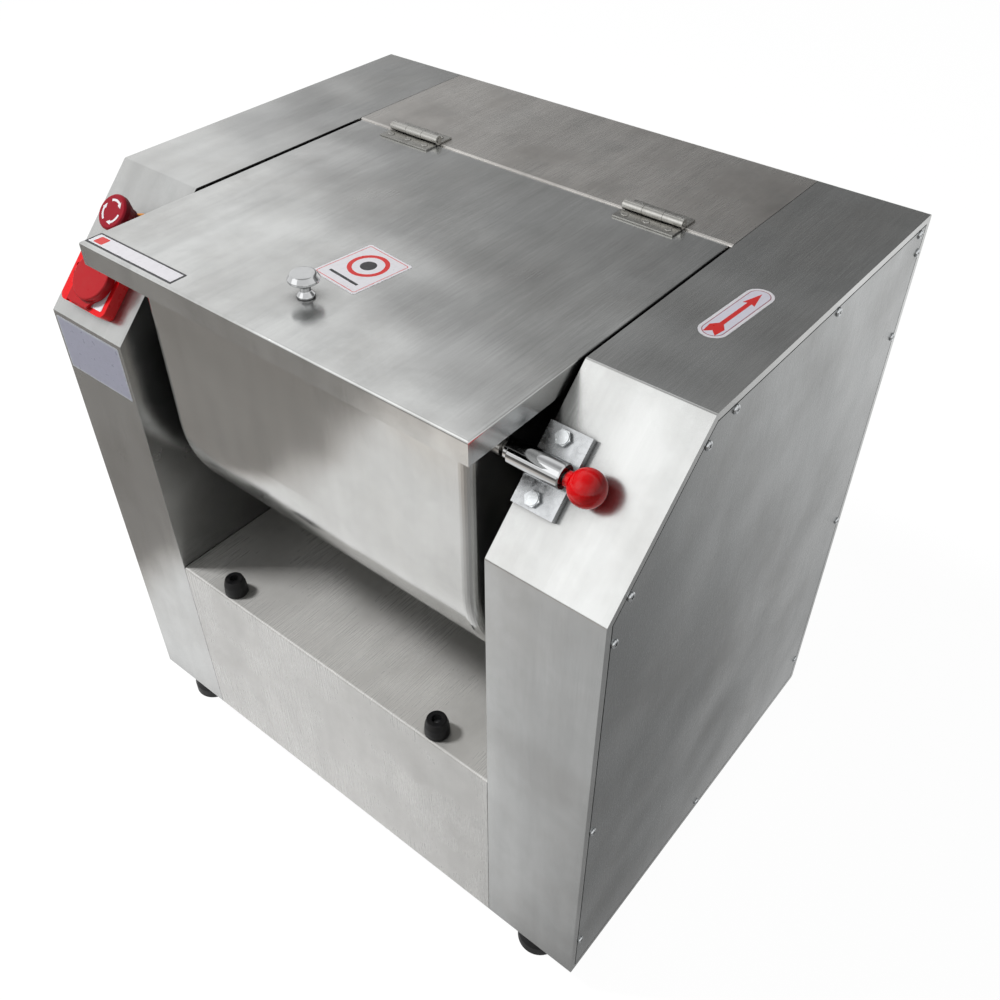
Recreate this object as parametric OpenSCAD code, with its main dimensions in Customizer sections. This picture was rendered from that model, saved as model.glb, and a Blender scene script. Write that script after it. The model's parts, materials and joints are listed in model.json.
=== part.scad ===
// Dough mixer with a tilting trough between two sheet metal housings.
// X runs from the control side to the drive side, Y from front to back, Z up.
// The origin is the middle of the machine's footprint, on the floor.
// Modules are drawn with Y zero on the front faces and Z zero under the
// sheet metal, and place() moves them into that frame.

/* [Body] */
// Overall width across both housings
body_w = 740; // [720:1:800]
// Depth of the housings
body_d = 558; // [550:1:600]
// Height of the sheet metal body without its feet
body_h = 735; // [732:1:760]
// Rise of the control slope up to the top
slope_rise = 129; // [119:1:139]
// Front to back depth of the control slope
slope_depth = 132; // [126:1:140]
// Width of one housing
housing_w = 122; // [121:1:130]
// Height of the sill under the trough
sill_h = 276.5; // [274:0.5:279]
// Thickness of the stainless sheet
sheet_t = 1.5; // [1.2:0.1:1.8]
// Inside radius of a sheet metal bend
bend_r = 1.5; // [1:0.1:3]
// Width of the housing's return strip around a side cover
return_w = 8; // [6:0.5:10]
// Gap around a side cover
cover_gap = 1.3; // [0.6:0.1:1.6]
// Distance of the side cover screws from the outer edge
cover_screw_inset = 14; // [12:0.5:16]
// Depth of the rear deck's apron behind the trough
apron_h = 107; // [90:1:110]

/* [Frame and feet] */
// Side of a square frame tube
tube_w = 40; // [38:1:44]
// Wall of a frame tube
tube_t = 2.5; // [2:0.1:4]
// Thickness of the plates that carry the bearings
plate_t = 10; // [8:0.5:10]
// Diameter of a rubber foot
foot_d = 54; // [44:1:54]
// Height of a rubber foot
foot_h = 32; // [28:1:50]
// Distance of a foot from the outer face
foot_inset_x = 64; // [56:1:80]
// Distance of a foot from the front or back face
foot_inset_y = 27; // [27:1:33]

/* [Lid] */
// Overhang of the lid beyond the front faces
lid_over = 12.5; // [8:0.5:16]
// Gap between the lid and each housing
lid_gap = 4; // [3:0.5:6]
// Depth of the lid's turned down edges
lid_lip = 24.5; // [20:0.5:25]
// Distance of the hinge line from the front faces
hinge_y = 373; // [371:0.5:380]
// Diameter of the lid knob's cap
knob_d = 29.5; // [22:0.5:34]
// Height of the lid knob
knob_h = 23.5; // [20:0.5:34]
// Distance of the lid knob from the front faces
knob_y = 55; // [35:1:70]

/* [Hinges] */
// Distance of each hinge from the lid's end
hinge_inset = 85; // [54:1:134]
// Length of a hinge along its pin
hinge_l = 70; // [60:1:90]
// Width of one hinge leaf
leaf_w = 21.5; // [18:0.5:26]
// Thickness of a hinge leaf
leaf_t = 2; // [1.6:0.1:2.4]
// Diameter of a hinge knuckle
knuckle_d = 10; // [9:0.1:11]
// Diameter of a hinge pin
hinge_pin_d = 5; // [4:0.1:6]

/* [Trough] */
// Gap between the trough's ends and the housings
tub_gap = 32.5; // [32.5:0.5:48]
// Outside radius of the trough's round bottom
tub_r = 165; // [155:1:168]
// Thickness of the trough's sheet
tub_t = 2; // [1.5:0.1:3]
// Radius of the trough's upright corners
tub_corner_r = 13; // [8:1:20]
// Drop of the trough's rim below the top of the lid
rim_drop = 30; // [28:1:40]
// Reach of the pouring rim in front of the trough
rim_w = 27; // [20:0.5:29]
// Radius that the back of the trough keeps to when it tips
tip_r = 212; // [195:1:214]
// Height of the shaft above the sill, as a share of the height above the sill
axis_share = 0.52; // [0.516:0.002:0.526]
// Distance of the shaft from the front faces
axis_y = 187; // [185:0.5:190]

/* [Agitator] */
// Diameter of the agitator shaft
shaft_d = 40; // [34:0.5:42]
// Diameter of the mixing bars
bar_d = 20; // [16:1:24]
// Gap between a mixing bar and the trough's wall
bar_gap = 7; // [4:0.5:14]
// Angle that a mixing bar twists through along the trough
bar_twist = 60; // [30:1:80]

/* [Drive] */
// Height of a gear tooth above its pitch circle, which is the gears' module
addendum_h = 4; // [3.8:0.05:4.1]
// Teeth on the agitator gear
gear_teeth = 72; // [70:1:74]
// Teeth on the pinion
pinion_teeth = 18; // [17:1:20]
// Width of the agitator gear's rim
gear_w = 28; // [20:1:28]
// Direction from the agitator shaft to the countershaft
drive_angle = -44; // [-46:0.5:-42]
// Diameter of the countershaft
counter_d = 20; // [16:0.5:22]
// Outside diameter of the large pulley
pulley_d = 200; // [180:1:206]
// Outside diameter of the motor pulley
motor_pulley_d = 72; // [66:1:80]
// Width of both pulleys
pulley_w = 26; // [25:0.5:26]

/* [Motor] */
// Distance of the motor's shaft from the back face
motor_back = 158; // [150:1:166]
// Height of the motor's shaft above its feet
motor_h = 90; // [88:1:96]
// Diameter of the motor over its fins
motor_d = 168; // [160:1:172]
// Length of the finned body
motor_l = 150; // [130:1:170]
// Diameter of the motor's shaft
motor_shaft_d = 24; // [19:0.5:26]

/* [Lock] */
// Distance of the lock's axis up the slope
lock_slope_l = 90; // [84:1:96]
// Thickness of the lock's bracket plate
bracket_t = 8; // [6:0.5:10]
// Size of the bracket plate across the machine
bracket_w = 42; // [38:1:46]
// Size of the bracket plate up the slope
bracket_l = 74; // [70:1:80]
// Distance between the bracket's bolts
bolt_pitch = 54.5; // [50:0.5:58]
// Diameter of the lock's barrel
barrel_d = 23.5; // [21:0.5:25]
// Length of the lock's barrel
barrel_l = 52; // [48:1:54]
// Diameter of the locking pin
pin_d = 10; // [8:0.5:11]
// Travel of the locking pin
pin_travel = 14; // [10:0.5:14.5]
// Diameter of the pull ball
ball_d = 33; // [28:1:36]

/* [Controls] */
// Distance of the stop button from the housing's inner face
estop_inset = 50; // [42:1:58]
// Distance of the stop button up the slope
estop_slope_l = 123.5; // [118:0.5:130]
// Diameter of the stop button's head
estop_d = 39; // [34:1:42]
// Travel of the stop button
estop_travel = 4; // [3:0.5:5]
// Distance of the rotary switch from the housing's inner face
switch_inset = 63; // [58:1:68]
// Distance of the rotary switch up the slope
switch_slope_l = 54; // [50:1:56]
// Side of the rotary switch's square box
switch_w = 72; // [66:1:74]
// Height of the rotary switch's box
switch_h = 14; // [12:0.5:18]
// Diameter of the rotary switch's round cap
dial_d = 54; // [48:1:55]

/* [Hidden] */

// Overrun of every cut past the face it opens
cut = 0.5;
// Gap between a turning part and its seat
running_fit = 0.05;
// Gap between parts that pass each other
clear = 0.4;
// Straight steps in a sheet metal bend
bend_steps = 5;
// Straight steps in a trough corner
corner_steps = 8;
// Roundness of turned parts
$fn = 64;

// Places worked out from the driving sizes
inner_x = body_w / 2 - housing_w;
plate_x = inner_x + sheet_t;
gear_side_x = plate_x + plate_t;
front_h = body_h - slope_rise;
slope_angle = atan2(slope_rise, slope_depth);
axis_z = sill_h + axis_share * (body_h - sill_h);
rim_h = body_h - axis_z - rim_drop;
tub_l = 2 * (inner_x - tub_gap);
motor_y = body_d - motor_back;
estop_x = inner_x + estop_inset;
switch_x = inner_x + switch_inset;
counter_dist = addendum_h * (gear_teeth + pinion_teeth) / 2;
counter_y = axis_y + counter_dist * cos(drive_angle);
counter_z = axis_z + counter_dist * sin(drive_angle);
motor_plate_t = 8;
motor_z = sheet_t + tube_w + motor_plate_t + motor_h;
gland_reach = 22;
mid_y = (body_d + gland_reach - lid_over) / 2;

// How far the barrel sinks into its bracket
weld_sink = 0.75;
lock_rise = bracket_t + barrel_d / 2 - weld_sink;
lock_y = lock_slope_l * cos(slope_angle) - lock_rise * sin(slope_angle);
lock_z = front_h + lock_slope_l * sin(slope_angle) + lock_rise * cos(slope_angle);
// Distance of the bracket from the housing's inner face
bracket_set = 1;
bracket_x = inner_x + bracket_set;
bolt_x_share = 0.44;

side_outline = [[0, 0], [body_d, 0], [body_d, body_h], [slope_depth, body_h], [0, front_h]];

// Unit vector along v
function unit(v) = v / norm(v);

// Vector v turned a quarter turn to the left
function left_of(v) = [-v[1], v[0]];

// Vector v turned by an angle
function spin(v, a) = [v[0] * cos(a) - v[1] * sin(a), v[0] * sin(a) + v[1] * cos(a)];

// Corner b of the line a-b-c after the line moves left by t
function mitre(a, b, c, t) =
    let (n1 = left_of(unit(b - a)), n2 = left_of(unit(c - b)))
    b + t * (n1 + n2) / (1 + n1 * n2);

// Closed outline moved inwards by t
function inset(pts, t) =
    let (n = len(pts))
    [for (i = [0 : n - 1]) mitre(pts[(i + n - 1) % n], pts[i], pts[(i + 1) % n], t)];

// Points of the arc that rounds corner b of the line a-b-c
function arc_corner(a, b, c, r, steps) =
    let (
        u = unit(a - b),
        v = unit(c - b),
        half = acos(u * v) / 2,
        centre = b + unit(u + v) * r / sin(half),
        start = b + u * r / tan(half) - centre,
        sweep = (180 - 2 * half) * sign(cross(b - a, c - b))
    )
    r <= 0 ? [b] : [for (k = [0 : steps]) centre + spin(start, sweep * k / steps)];

// Closed outline with its corners rounded, one radius for each corner
function rounded(pts, radii, steps = bend_steps) =
    let (n = len(pts))
    [for (i = [0 : n - 1])
        for (p = arc_corner(pts[(i + n - 1) % n], pts[i], pts[(i + 1) % n], radii[i], steps)) p];

// The same radius for each point of an outline
function same(pts, r) = [for (p = pts) r];

// A list in reverse order
function reversed(list) = [for (i = [len(list) - 1 : -1 : 0]) list[i]];

// Section of a folded sheet whose outer face follows pts, with its thickness to the left
function folded(pts) =
    let (
        n = len(pts) - 1,
        inner = [for (i = [0 : n])
            i == 0 ? pts[0] + sheet_t * left_of(unit(pts[1] - pts[0]))
            : i == n ? pts[n] + sheet_t * left_of(unit(pts[n] - pts[n - 1]))
            : mitre(pts[i - 1], pts[i], pts[i + 1], sheet_t)],
        turns = [for (i = [0 : n])
            i == 0 || i == n ? 0 : sign(cross(pts[i] - pts[i - 1], pts[i + 1] - pts[i]))],
        outer_r = [for (s = turns) s == 0 ? 0 : s > 0 ? bend_r + sheet_t : bend_r],
        inner_r = [for (s = turns) s == 0 ? 0 : s > 0 ? bend_r : bend_r + sheet_t]
    )
    rounded(concat(pts, reversed(inner)), concat(outer_r, reversed(inner_r)));

// Moves the machine's drawing frame to the part's frame
module place() {
    translate([0, -mid_y, foot_h]) children();
}

// Draws for the right-hand side, or mirrored for the left
module on_side(side) {
    if (side > 0) children();
    else mirror([1, 0, 0]) children();
}

// A profile drawn in Y and Z, pulled along X from x0 to x1
module along_x(x0, x1) {
    translate([x0, 0, 0]) rotate([90, 0, 90]) linear_extrude(x1 - x0) children();
}

// A profile drawn in X and Z, pulled along Y from y0 to y1
module along_y(y0, y1) {
    translate([0, y1, 0]) rotate([90, 0, 0]) linear_extrude(y1 - y0) children();
}

// A cylinder along X
module rod_x(x0, x1, d) {
    translate([x0, 0, 0]) rotate([0, 90, 0]) cylinder(h = x1 - x0, d = d);
}

// A ring along X
module ring_x(x0, x1, d_out, d_in) {
    difference() {
        rod_x(x0, x1, d_out);
        rod_x(x0 - cut, x1 + cut, d_in);
    }
}

// Moves to the agitator shaft's axis
module at_axis() {
    translate([0, axis_y, axis_z]) children();
}

// Moves to the countershaft's axis
module at_counter() {
    translate([0, counter_y, counter_z]) children();
}

// Moves to the motor's axis
module at_motor() {
    translate([0, motor_y, motor_z]) children();
}

// Stands on the control slope, with Z out of the slope and Y up it
module on_slope(x, along) {
    translate([x, along * cos(slope_angle), front_h + along * sin(slope_angle)])
        rotate([slope_angle, 0, 0]) children();
}

// Hexagon bolt standing up from its seat, with its washer
module hex_bolt(d, washer = true) {
    washer_t = 0.16 * d;
    if (washer) cylinder(h = washer_t, d = 2.1 * d);
    translate([0, 0, washer ? washer_t : 0]) {
        cylinder(h = 0.5 * d, d = 1.875 * d, $fn = 6);
        cylinder(h = 0.6 * d, d = 1.5 * d);
    }
}

// Pan head screw standing up from its seat, with a short shank below
module pan_screw(head_d, head_h, shank_d, shank_l) {
    translate([0, 0, -shank_l]) cylinder(h = shank_l, d = shank_d);
    rotate_extrude() polygon(rounded(
        [[0, 0], [head_d / 2, 0], [head_d / 2, head_h], [0, head_h]], [0, 0, 0.8 * head_h, 0]));
}

// Frame

frame_z0 = sheet_t;
frame_z1 = sheet_t + tube_w;
side_tube_x = plate_x + plate_t / 2 - tube_w / 2;
frame_reach_x = body_w / 2 - 3 * sheet_t;
tube_y0 = sheet_t;
tube_y1 = body_d - sheet_t;

// Section of a square frame tube with its round edges
module tube_section() {
    edge_r = 2 * tube_t;
    outer = [[0, 0], [tube_w, 0], [tube_w, tube_w], [0, tube_w]];
    difference() {
        polygon(rounded(outer, same(outer, edge_r)));
        polygon(rounded(inset(outer, tube_t), same(outer, edge_r - tube_t)));
    }
}

// Square tube along X with open ends
module tube_x(x0, x1, y0, z0) {
    translate([0, y0, z0]) along_x(x0, x1) tube_section();
}

// Square tube along Y with open ends
module tube_y(x0, y0, y1, z0) {
    translate([x0, 0, z0]) along_y(y0, y1) tube_section();
}

// Places of the motor's feet along X, the second over the side tube
motor_foot_x = [side_tube_x - tube_w, side_tube_x + tube_w / 2];

module base_frame() {
    color("dimgray") place() difference() {
        union() {
            for (y = [tube_y0, tube_y1 - tube_w]) tube_x(-frame_reach_x, frame_reach_x, y, frame_z0);
            for (side = [-1, 1]) on_side(side)
                tube_y(side_tube_x, tube_y0 + tube_w, tube_y1 - tube_w, frame_z0);
            tube_y(motor_foot_x[0] - tube_w / 2, tube_y0 + tube_w, tube_y1 - tube_w, frame_z0);
        }
        for (x = [-1, 1], y = [foot_inset_y, body_d - foot_inset_y])
            translate([x * (body_w / 2 - foot_inset_x), y, 0])
                cylinder(h = frame_z0 + 2 * tube_t, d = stud_d + 2 * running_fit);
        motor_plate_holes(tube_t + cut);
    }
}

bearing_plate_y0 = 46;
bearing_plate_back = 33;
bearing_plate_y1 = body_d - bearing_plate_back;
// Height of a bearing plate's top above the shaft
plate_above_h = 125;
bearing_plate_top = axis_z + plate_above_h;
window_r = 25;

// Outline of a bearing plate, which keeps clear of the control slope
function bearing_plate_outline() = [
    [bearing_plate_y0, frame_z1], [bearing_plate_y1, frame_z1],
    [bearing_plate_y1, axis_z], [axis_y + bearing_od, bearing_plate_top],
    [axis_y - bearing_od, bearing_plate_top], [bearing_plate_y0, axis_z]
];

module bearing_plate_blank() {
    along_x(plate_x, gear_side_x)
        polygon(rounded(bearing_plate_outline(), [0, 0, window_r, window_r, window_r, window_r]));
}

module bearing_plate_cuts() {
    at_axis() rod_x(plate_x - cut, gear_side_x + cut, spigot_d + 2 * running_fit);
    window = [
        [bearing_plate_y0 + tube_w, frame_z1 + tube_w], [axis_y + window_r, frame_z1 + tube_w],
        [axis_y + window_r, sill_h], [bearing_plate_y0 + tube_w, sill_h]
    ];
    along_x(plate_x - cut, gear_side_x + cut) polygon(rounded(window, same(window, window_r)));
}

// Room beside and above the motor in the openings that it passes through
window_side_gap = 8;
window_top_gap = 26.5;
motor_window_half = motor_d / 2 + window_side_gap;
motor_window_top = motor_z + motor_d / 2 + window_top_gap;

// Opening that the motor, or the wiring on the left, passes through
module side_window(x0, x1) {
    window = [
        [motor_y - motor_window_half, frame_z1], [motor_y + motor_window_half, frame_z1],
        [motor_y + motor_window_half, motor_window_top], [motor_y - motor_window_half, motor_window_top]
    ];
    along_x(x0, x1) polygon(rounded(window, [0, 0, window_r, window_r]));
}

module left_bearing_plate() {
    color("dimgray") place() on_side(-1) difference() {
        bearing_plate_blank();
        bearing_plate_cuts();
        side_window(plate_x - cut, gear_side_x + cut);
    }
}

module right_bearing_plate() {
    color("dimgray") place() difference() {
        bearing_plate_blank();
        bearing_plate_cuts();
        side_window(plate_x - cut, gear_side_x + cut);
    }
}

tie_bar_y = body_d - sheet_t - tube_w;
tie_bar_z = body_h - sheet_t - tube_w;

module rear_tie_bar() {
    color("dimgray") place() tube_x(-inner_x, inner_x, tie_bar_y, tie_bar_z);
}

// Housings

housing_r = bend_r + sheet_t;
ledge_w = 18;
bottom_border = 45;
lid_rest_w = 9;
lid_rest_l = 30;
lid_rest_y = 200;

// Folded wrapper with its inner wall, drawn for the right-hand side
module housing_shell() {
    outer_r = [for (p = side_outline) housing_r];
    outer_x = body_w / 2;
    difference() {
        along_x(inner_x, outer_x) polygon(rounded(side_outline, outer_r));
        along_x(inner_x + sheet_t, outer_x + cut)
            polygon(rounded(inset(side_outline, sheet_t), same(side_outline, bend_r)));
        housing_wall_cuts();
    }
    along_x(outer_x - sheet_t, outer_x) difference() {
        polygon(inset(side_outline, sheet_t));
        polygon(inset(side_outline, return_w));
    }
    along_x(outer_x - 2 * sheet_t, outer_x - sheet_t) difference() {
        polygon(inset(side_outline, sheet_t));
        polygon(inset(side_outline, return_w + ledge_w));
    }
    lid_rest();
}

// Openings in the inner wall and in the bottom
module housing_wall_cuts() {
    wall = [inner_x - cut, inner_x + sheet_t + cut];
    at_axis() rod_x(wall[0], wall[1], spigot_d + 2 * clear);
    side_window(wall[0], wall[1]);
    translate([wall[0], sheet_t, sheet_t]) cube([wall[1] - wall[0], body_d - 2 * sheet_t, tube_w]);
    translate([gear_side_x + tube_w / 2, foot_inset_y + foot_d, -cut])
        cube([housing_w - plate_t - tube_w, body_d - 2 * (foot_inset_y + foot_d), 2 * cut + sheet_t]);
    for (y = [foot_inset_y, body_d - foot_inset_y])
        translate([body_w / 2 - foot_inset_x, y, -cut])
            cylinder(h = sheet_t + 2 * cut, d = stud_d + 2 * running_fit);
}

// Small angle on the inner wall that the lid's edge rests on
module lid_rest() {
    rest_z = body_h - lid_lip;
    translate([inner_x - lid_rest_w, lid_rest_y, rest_z - sheet_t]) cube([lid_rest_w, lid_rest_l, sheet_t]);
    translate([inner_x - sheet_t, lid_rest_y, rest_z - lid_rest_w]) cube([sheet_t, lid_rest_l, lid_rest_w]);
}

estop_hole_d = 22.5;
switch_hole_d = 34;
m8 = 8;

module left_housing() {
    color("silver") place() on_side(-1) difference() {
        housing_shell();
        for (hole = [[estop_x, estop_slope_l, estop_hole_d], [switch_x, switch_slope_l, switch_hole_d]])
            on_slope(hole[0], hole[1]) translate([0, 0, -2 * sheet_t]) cylinder(h = 4 * sheet_t, d = hole[2]);
    }
}

module right_housing() {
    color("silver") place() difference() {
        housing_shell();
        for (s = [-1, 1]) on_slope(bracket_x + bolt_x_share * bracket_w, lock_slope_l + s * bolt_pitch / 2)
            translate([0, 0, -2 * sheet_t]) cylinder(h = 4 * sheet_t, d = m8 + 2 * running_fit);
    }
}

// Side covers

screw_d = 5;
screw_head_d = 9;
screw_head_h = 2.2;
// Edge of the cover, counted from the bottom edge round the back, and share of its length
cover_screw_shares = [
    [0, 0.5], [1, 0.055], [1, 0.44], [1, 0.825], [1, 0.967], [2, 0.02], [2, 0.478],
    [2, 0.933], [3, 0.1], [3, 0.86], [4, 0.04], [4, 0.524], [4, 0.917]
];

// Place of each cover screw in Y and Z
function cover_screw_places() =
    let (line = inset(side_outline, cover_screw_inset), n = len(line))
    [for (s = cover_screw_shares) line[s[0]] * (1 - s[1]) + line[(s[0] + 1) % n] * s[1]];

// Runs its child at each cover screw, with Z out of the cover
module at_cover_screws() {
    for (p = cover_screw_places())
        translate([body_w / 2, p[0], p[1]]) rotate([0, 90, 0]) children();
}

module side_cover() {
    difference() {
        along_x(body_w / 2 - sheet_t, body_w / 2) polygon(inset(side_outline, return_w + cover_gap));
        at_cover_screws() translate([0, 0, -2 * sheet_t]) cylinder(h = 3 * sheet_t, d = screw_d + 2 * running_fit);
    }
}

module left_side_cover() {
    color("silver") place() on_side(-1) side_cover();
}

module right_side_cover() {
    color("silver") place() side_cover();
}

module cover_screws() {
    color("gainsboro") place() {
        for (side = [-1, 1]) on_side(side) at_cover_screws() cover_screw();
        at_rear_screws() cover_screw();
    }
}

module cover_screw() {
    pan_screw(screw_head_d, screw_head_h, screw_d, sheet_t);
}

// Front panel, rear deck and rear panel

seam = 0.6;
panel_flange = 18;
panel_x = inner_x - seam;
bumper_inset = 82.4;
bumper_x = panel_x - bumper_inset;
bumper_y = 15.5;
bumper_base_d = 28;
bumper_top_d = 22;
bumper_h = 22.5;
bumper_screw_d = 6;

module front_panel() {
    color("silver") place() difference() {
        along_x(-panel_x, panel_x) polygon(folded([
            [body_d - sheet_t, sill_h], [0, sill_h], [0, 0], [panel_flange, 0]]));
        for (s = [-1, 1]) translate([s * bumper_x, bumper_y, sill_h - 2 * sheet_t])
            cylinder(h = 3 * sheet_t, d = bumper_screw_d + 2 * running_fit);
    }
}

rear_flange = 20;

module rear_deck() {
    deck_y = hinge_y + seam;
    color("silver") place() difference() {
        along_x(-panel_x, panel_x) polygon(folded([
            [body_d, body_h - rear_flange], [body_d, body_h], [deck_y, body_h], [deck_y, body_h - apron_h]]));
        hinge_holes(1);
    }
}

louvre_w = 90;
louvre_h = 14;
louvre_reach = 6;
louvre_pitch = 24;
louvre_rows = 7;
louvre_x = 110;
louvre_z = 110;
gland_d = 20;
gland_inset = 62.4;
gland_x = gland_inset - panel_x;
gland_z = 75;
// Height of each rear panel screw as a share of the panel's height
rear_screw_shares = [0.06, 0.36, 0.66, 0.96];

// Places of the rear panel's screws in X and Z
function rear_screw_places() = [
    for (s = [-1, 1], z = rear_screw_shares)
        [s * (panel_x - cover_screw_inset), z * (body_h - rear_flange)]];

// Runs its child at each rear panel screw, with Z out of the panel
module at_rear_screws() {
    for (p = rear_screw_places()) translate([p[0], body_d, p[1]]) rotate([-90, 0, 0]) children();
}

// Pressed louvre, open at its lower edge
module louvre(grow) {
    back = -sheet_t - grow;
    along_x(-louvre_w / 2 + grow, louvre_w / 2 - grow) polygon([
        [back, 0], [louvre_reach - grow, 0], [-grow, louvre_h - grow], [back, louvre_h - grow]]);
}

module rear_panel() {
    color("silver") place() difference() {
        union() {
            translate([-panel_x, body_d - sheet_t, 0]) cube([2 * panel_x, sheet_t, body_h - rear_flange]);
            at_louvres() louvre(0);
        }
        at_louvres() translate([0, 0, -cut]) louvre(sheet_t);
        at_rear_screws() translate([0, 0, -2 * sheet_t]) cylinder(h = 3 * sheet_t, d = screw_d + 2 * running_fit);
        translate([gland_x, body_d, gland_z]) rotate([-90, 0, 0])
            translate([0, 0, -2 * sheet_t]) cylinder(h = 3 * sheet_t, d = gland_d + 2 * running_fit);
    }
}

// Runs its child at each louvre of both columns
module at_louvres() {
    for (s = [-1, 1], i = [0 : louvre_rows - 1])
        translate([s * louvre_x, body_d, louvre_z + i * louvre_pitch]) children();
}

module cable_gland() {
    nut_h = 0.25 * gland_d;
    color("dimgray") place() translate([gland_x, body_d, gland_z]) rotate([-90, 0, 0]) difference() {
        union() {
            cylinder(h = nut_h, d = 1.4 * gland_d, $fn = 6);
            translate([0, 0, -sheet_t - nut_h]) cylinder(h = nut_h, d = 1.4 * gland_d, $fn = 6);
            translate([0, 0, -sheet_t - 2 * nut_h]) cylinder(h = sheet_t + 4 * nut_h, d = gland_d);
            translate([0, 0, nut_h]) rotate_extrude() polygon(rounded(
                [[0, 0], [0.62 * gland_d, 0], [0.62 * gland_d, 0.45 * gland_d],
                    [0.4 * gland_d, gland_reach - nut_h], [0, gland_reach - nut_h]],
                [0, 0, 0.1 * gland_d, 0.1 * gland_d, 0]));
        }
        translate([0, 0, -gland_reach]) cylinder(h = 3 * gland_reach, d = 0.45 * gland_d);
    }
}

// Feet and bumpers

stud_d = 10;
stud_l = 12;

// Runs its child at each foot, with Z up from the sheet's underside
module at_feet() {
    for (x = [-1, 1], y = [foot_inset_y, body_d - foot_inset_y])
        translate([x * (body_w / 2 - foot_inset_x), y, 0]) children();
}

module feet() {
    r = foot_d / 2;
    color("black") place() at_feet() translate([0, 0, -foot_h]) difference() {
        rotate_extrude() polygon(rounded(
            [[0, 0], [r, 0], [r, foot_h / 2], [0.8 * r, foot_h], [0, foot_h]],
            [0, 0.1 * r, 0.1 * r, 0.1 * r, 0]));
        translate([0, 0, foot_h - stud_l]) cylinder(h = stud_l + cut, d = stud_d);
    }
}

module foot_studs() {
    color("gainsboro") place() at_feet() {
        translate([0, 0, -stud_l]) cylinder(h = stud_l + sheet_t + tube_t, d = stud_d);
        translate([0, 0, frame_z0 + tube_t]) difference() {
            cylinder(h = 0.8 * stud_d, d = 1.7 * stud_d, $fn = 6);
            translate([0, 0, 0.8 * stud_d - cut / 2]) cylinder(h = cut, d = stud_d);
        }
    }
}

// Runs its child at each bumper, with Z up from the sill
module at_bumpers() {
    for (s = [-1, 1]) translate([s * bumper_x, bumper_y, sill_h]) children();
}

module sill_bumpers() {
    r = bumper_base_d / 2;
    top_r = bumper_top_d / 2;
    color("black") place() at_bumpers() difference() {
        rotate_extrude() polygon(rounded(
            [[0, 0], [r, 0], [r, 0.3 * bumper_h], [0.95 * r, 0.62 * bumper_h], [top_r, bumper_h], [0, bumper_h]],
            [0, 0.04 * r, 0.2 * r, 0.3 * r, 0.12 * r, 0]));
        translate([0, 0, bumper_h / 2]) cylinder(h = bumper_h, d = 1.8 * bumper_screw_d);
        translate([0, 0, -cut]) cylinder(h = bumper_h, d = bumper_screw_d);
    }
}

module bumper_screws() {
    color("gainsboro") place() at_bumpers() {
        translate([0, 0, bumper_h / 2]) cylinder(h = 0.6 * bumper_screw_d, d = 1.7 * bumper_screw_d);
        translate([0, 0, -3 * sheet_t]) cylinder(h = bumper_h / 2 + 3 * sheet_t, d = bumper_screw_d);
    }
}

// Lid and hinges

lid_w = 2 * (inner_x - lid_gap);
hinge_x = lid_w / 2 - hinge_inset;
lid_y1 = hinge_y - seam;
// Gap between a knuckle and the sheet below it
knuckle_lift = 0.3;
hinge_z = body_h + knuckle_d / 2 + knuckle_lift;
hinge_screw_d = 4;
hinge_head_d = 7.5;
hinge_head_h = 2;
// Place of each hinge screw along the hinge and across the leaf
hinge_screw_shares = [[-0.36, 0.62], [0, 0.62], [0.36, 0.62]];

// Outside of the lid shrunk by t on every face but the underside
module lid_block(t, below) {
    x = lid_w / 2 - t;
    y = [-lid_over + t, lid_y1 - t];
    z = [body_h - lid_lip - below, body_h - t];
    r = max(housing_r - t, bend_r);
    intersection() {
        along_x(-x, x) polygon(rounded([[y[0], z[0]], [y[1], z[0]], [y[1], z[1]], [y[0], z[1]]], [0, 0, r, r]));
        along_y(y[0], y[1]) polygon(rounded([[-x, z[0]], [x, z[0]], [x, z[1]], [-x, z[1]]], [0, 0, r, r]));
    }
}

module lid() {
    color("silver") place() difference() {
        lid_block(0, 0);
        lid_block(sheet_t, cut);
        hinge_holes(-1);
        translate([0, knob_y, body_h - 2 * sheet_t]) cylinder(h = 3 * sheet_t, d = knob_screw_d);
    }
}

knob_screw_d = 6;

// Profile of the knob in shares of its radius and height, from its foot up to its flat top
knob_shares = [
    [0, 0], [0.56, 0], [0.56, 0.09], [0.34, 0.26], [0.34, 0.45], [0.62, 0.56], [1, 0.7], [1, 0.8],
    [0.78, 1], [0, 1]
];
// Rounding of each corner of that profile, in shares of the radius
knob_round_shares = [0, 0.04, 0.06, 0.12, 0.12, 0.1, 0.08, 0.08, 0.16, 0];

module lid_knob() {
    r = knob_d / 2;
    color("gainsboro") place() translate([0, knob_y, body_h]) {
        rotate_extrude() polygon(rounded(
            [for (p = knob_shares) [p[0] * r, p[1] * knob_h]], knob_round_shares * r, bend_steps));
        translate([0, 0, -2 * sheet_t]) cylinder(h = 2 * sheet_t + cut, d = knob_screw_d);
        translate([0, 0, -sheet_t - 0.7 * knob_screw_d])
            cylinder(h = 0.7 * knob_screw_d, d = 1.8 * knob_screw_d, $fn = 6);
    }
}

// Runs its child at each hinge, with Z zero at the pin
module at_hinges() {
    for (s = [-1, 1]) translate([s * hinge_x, hinge_y, hinge_z]) children();
}

// Screw holes under the leaf on one side of the pin
module hinge_holes(side) {
    at_hinges() for (p = hinge_screw_shares)
        translate([p[0] * hinge_l, side * p[1] * leaf_w, body_h - hinge_z - 2 * sheet_t])
            cylinder(h = leaf_t + 3 * sheet_t, d = hinge_screw_d + 2 * running_fit);
}

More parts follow.
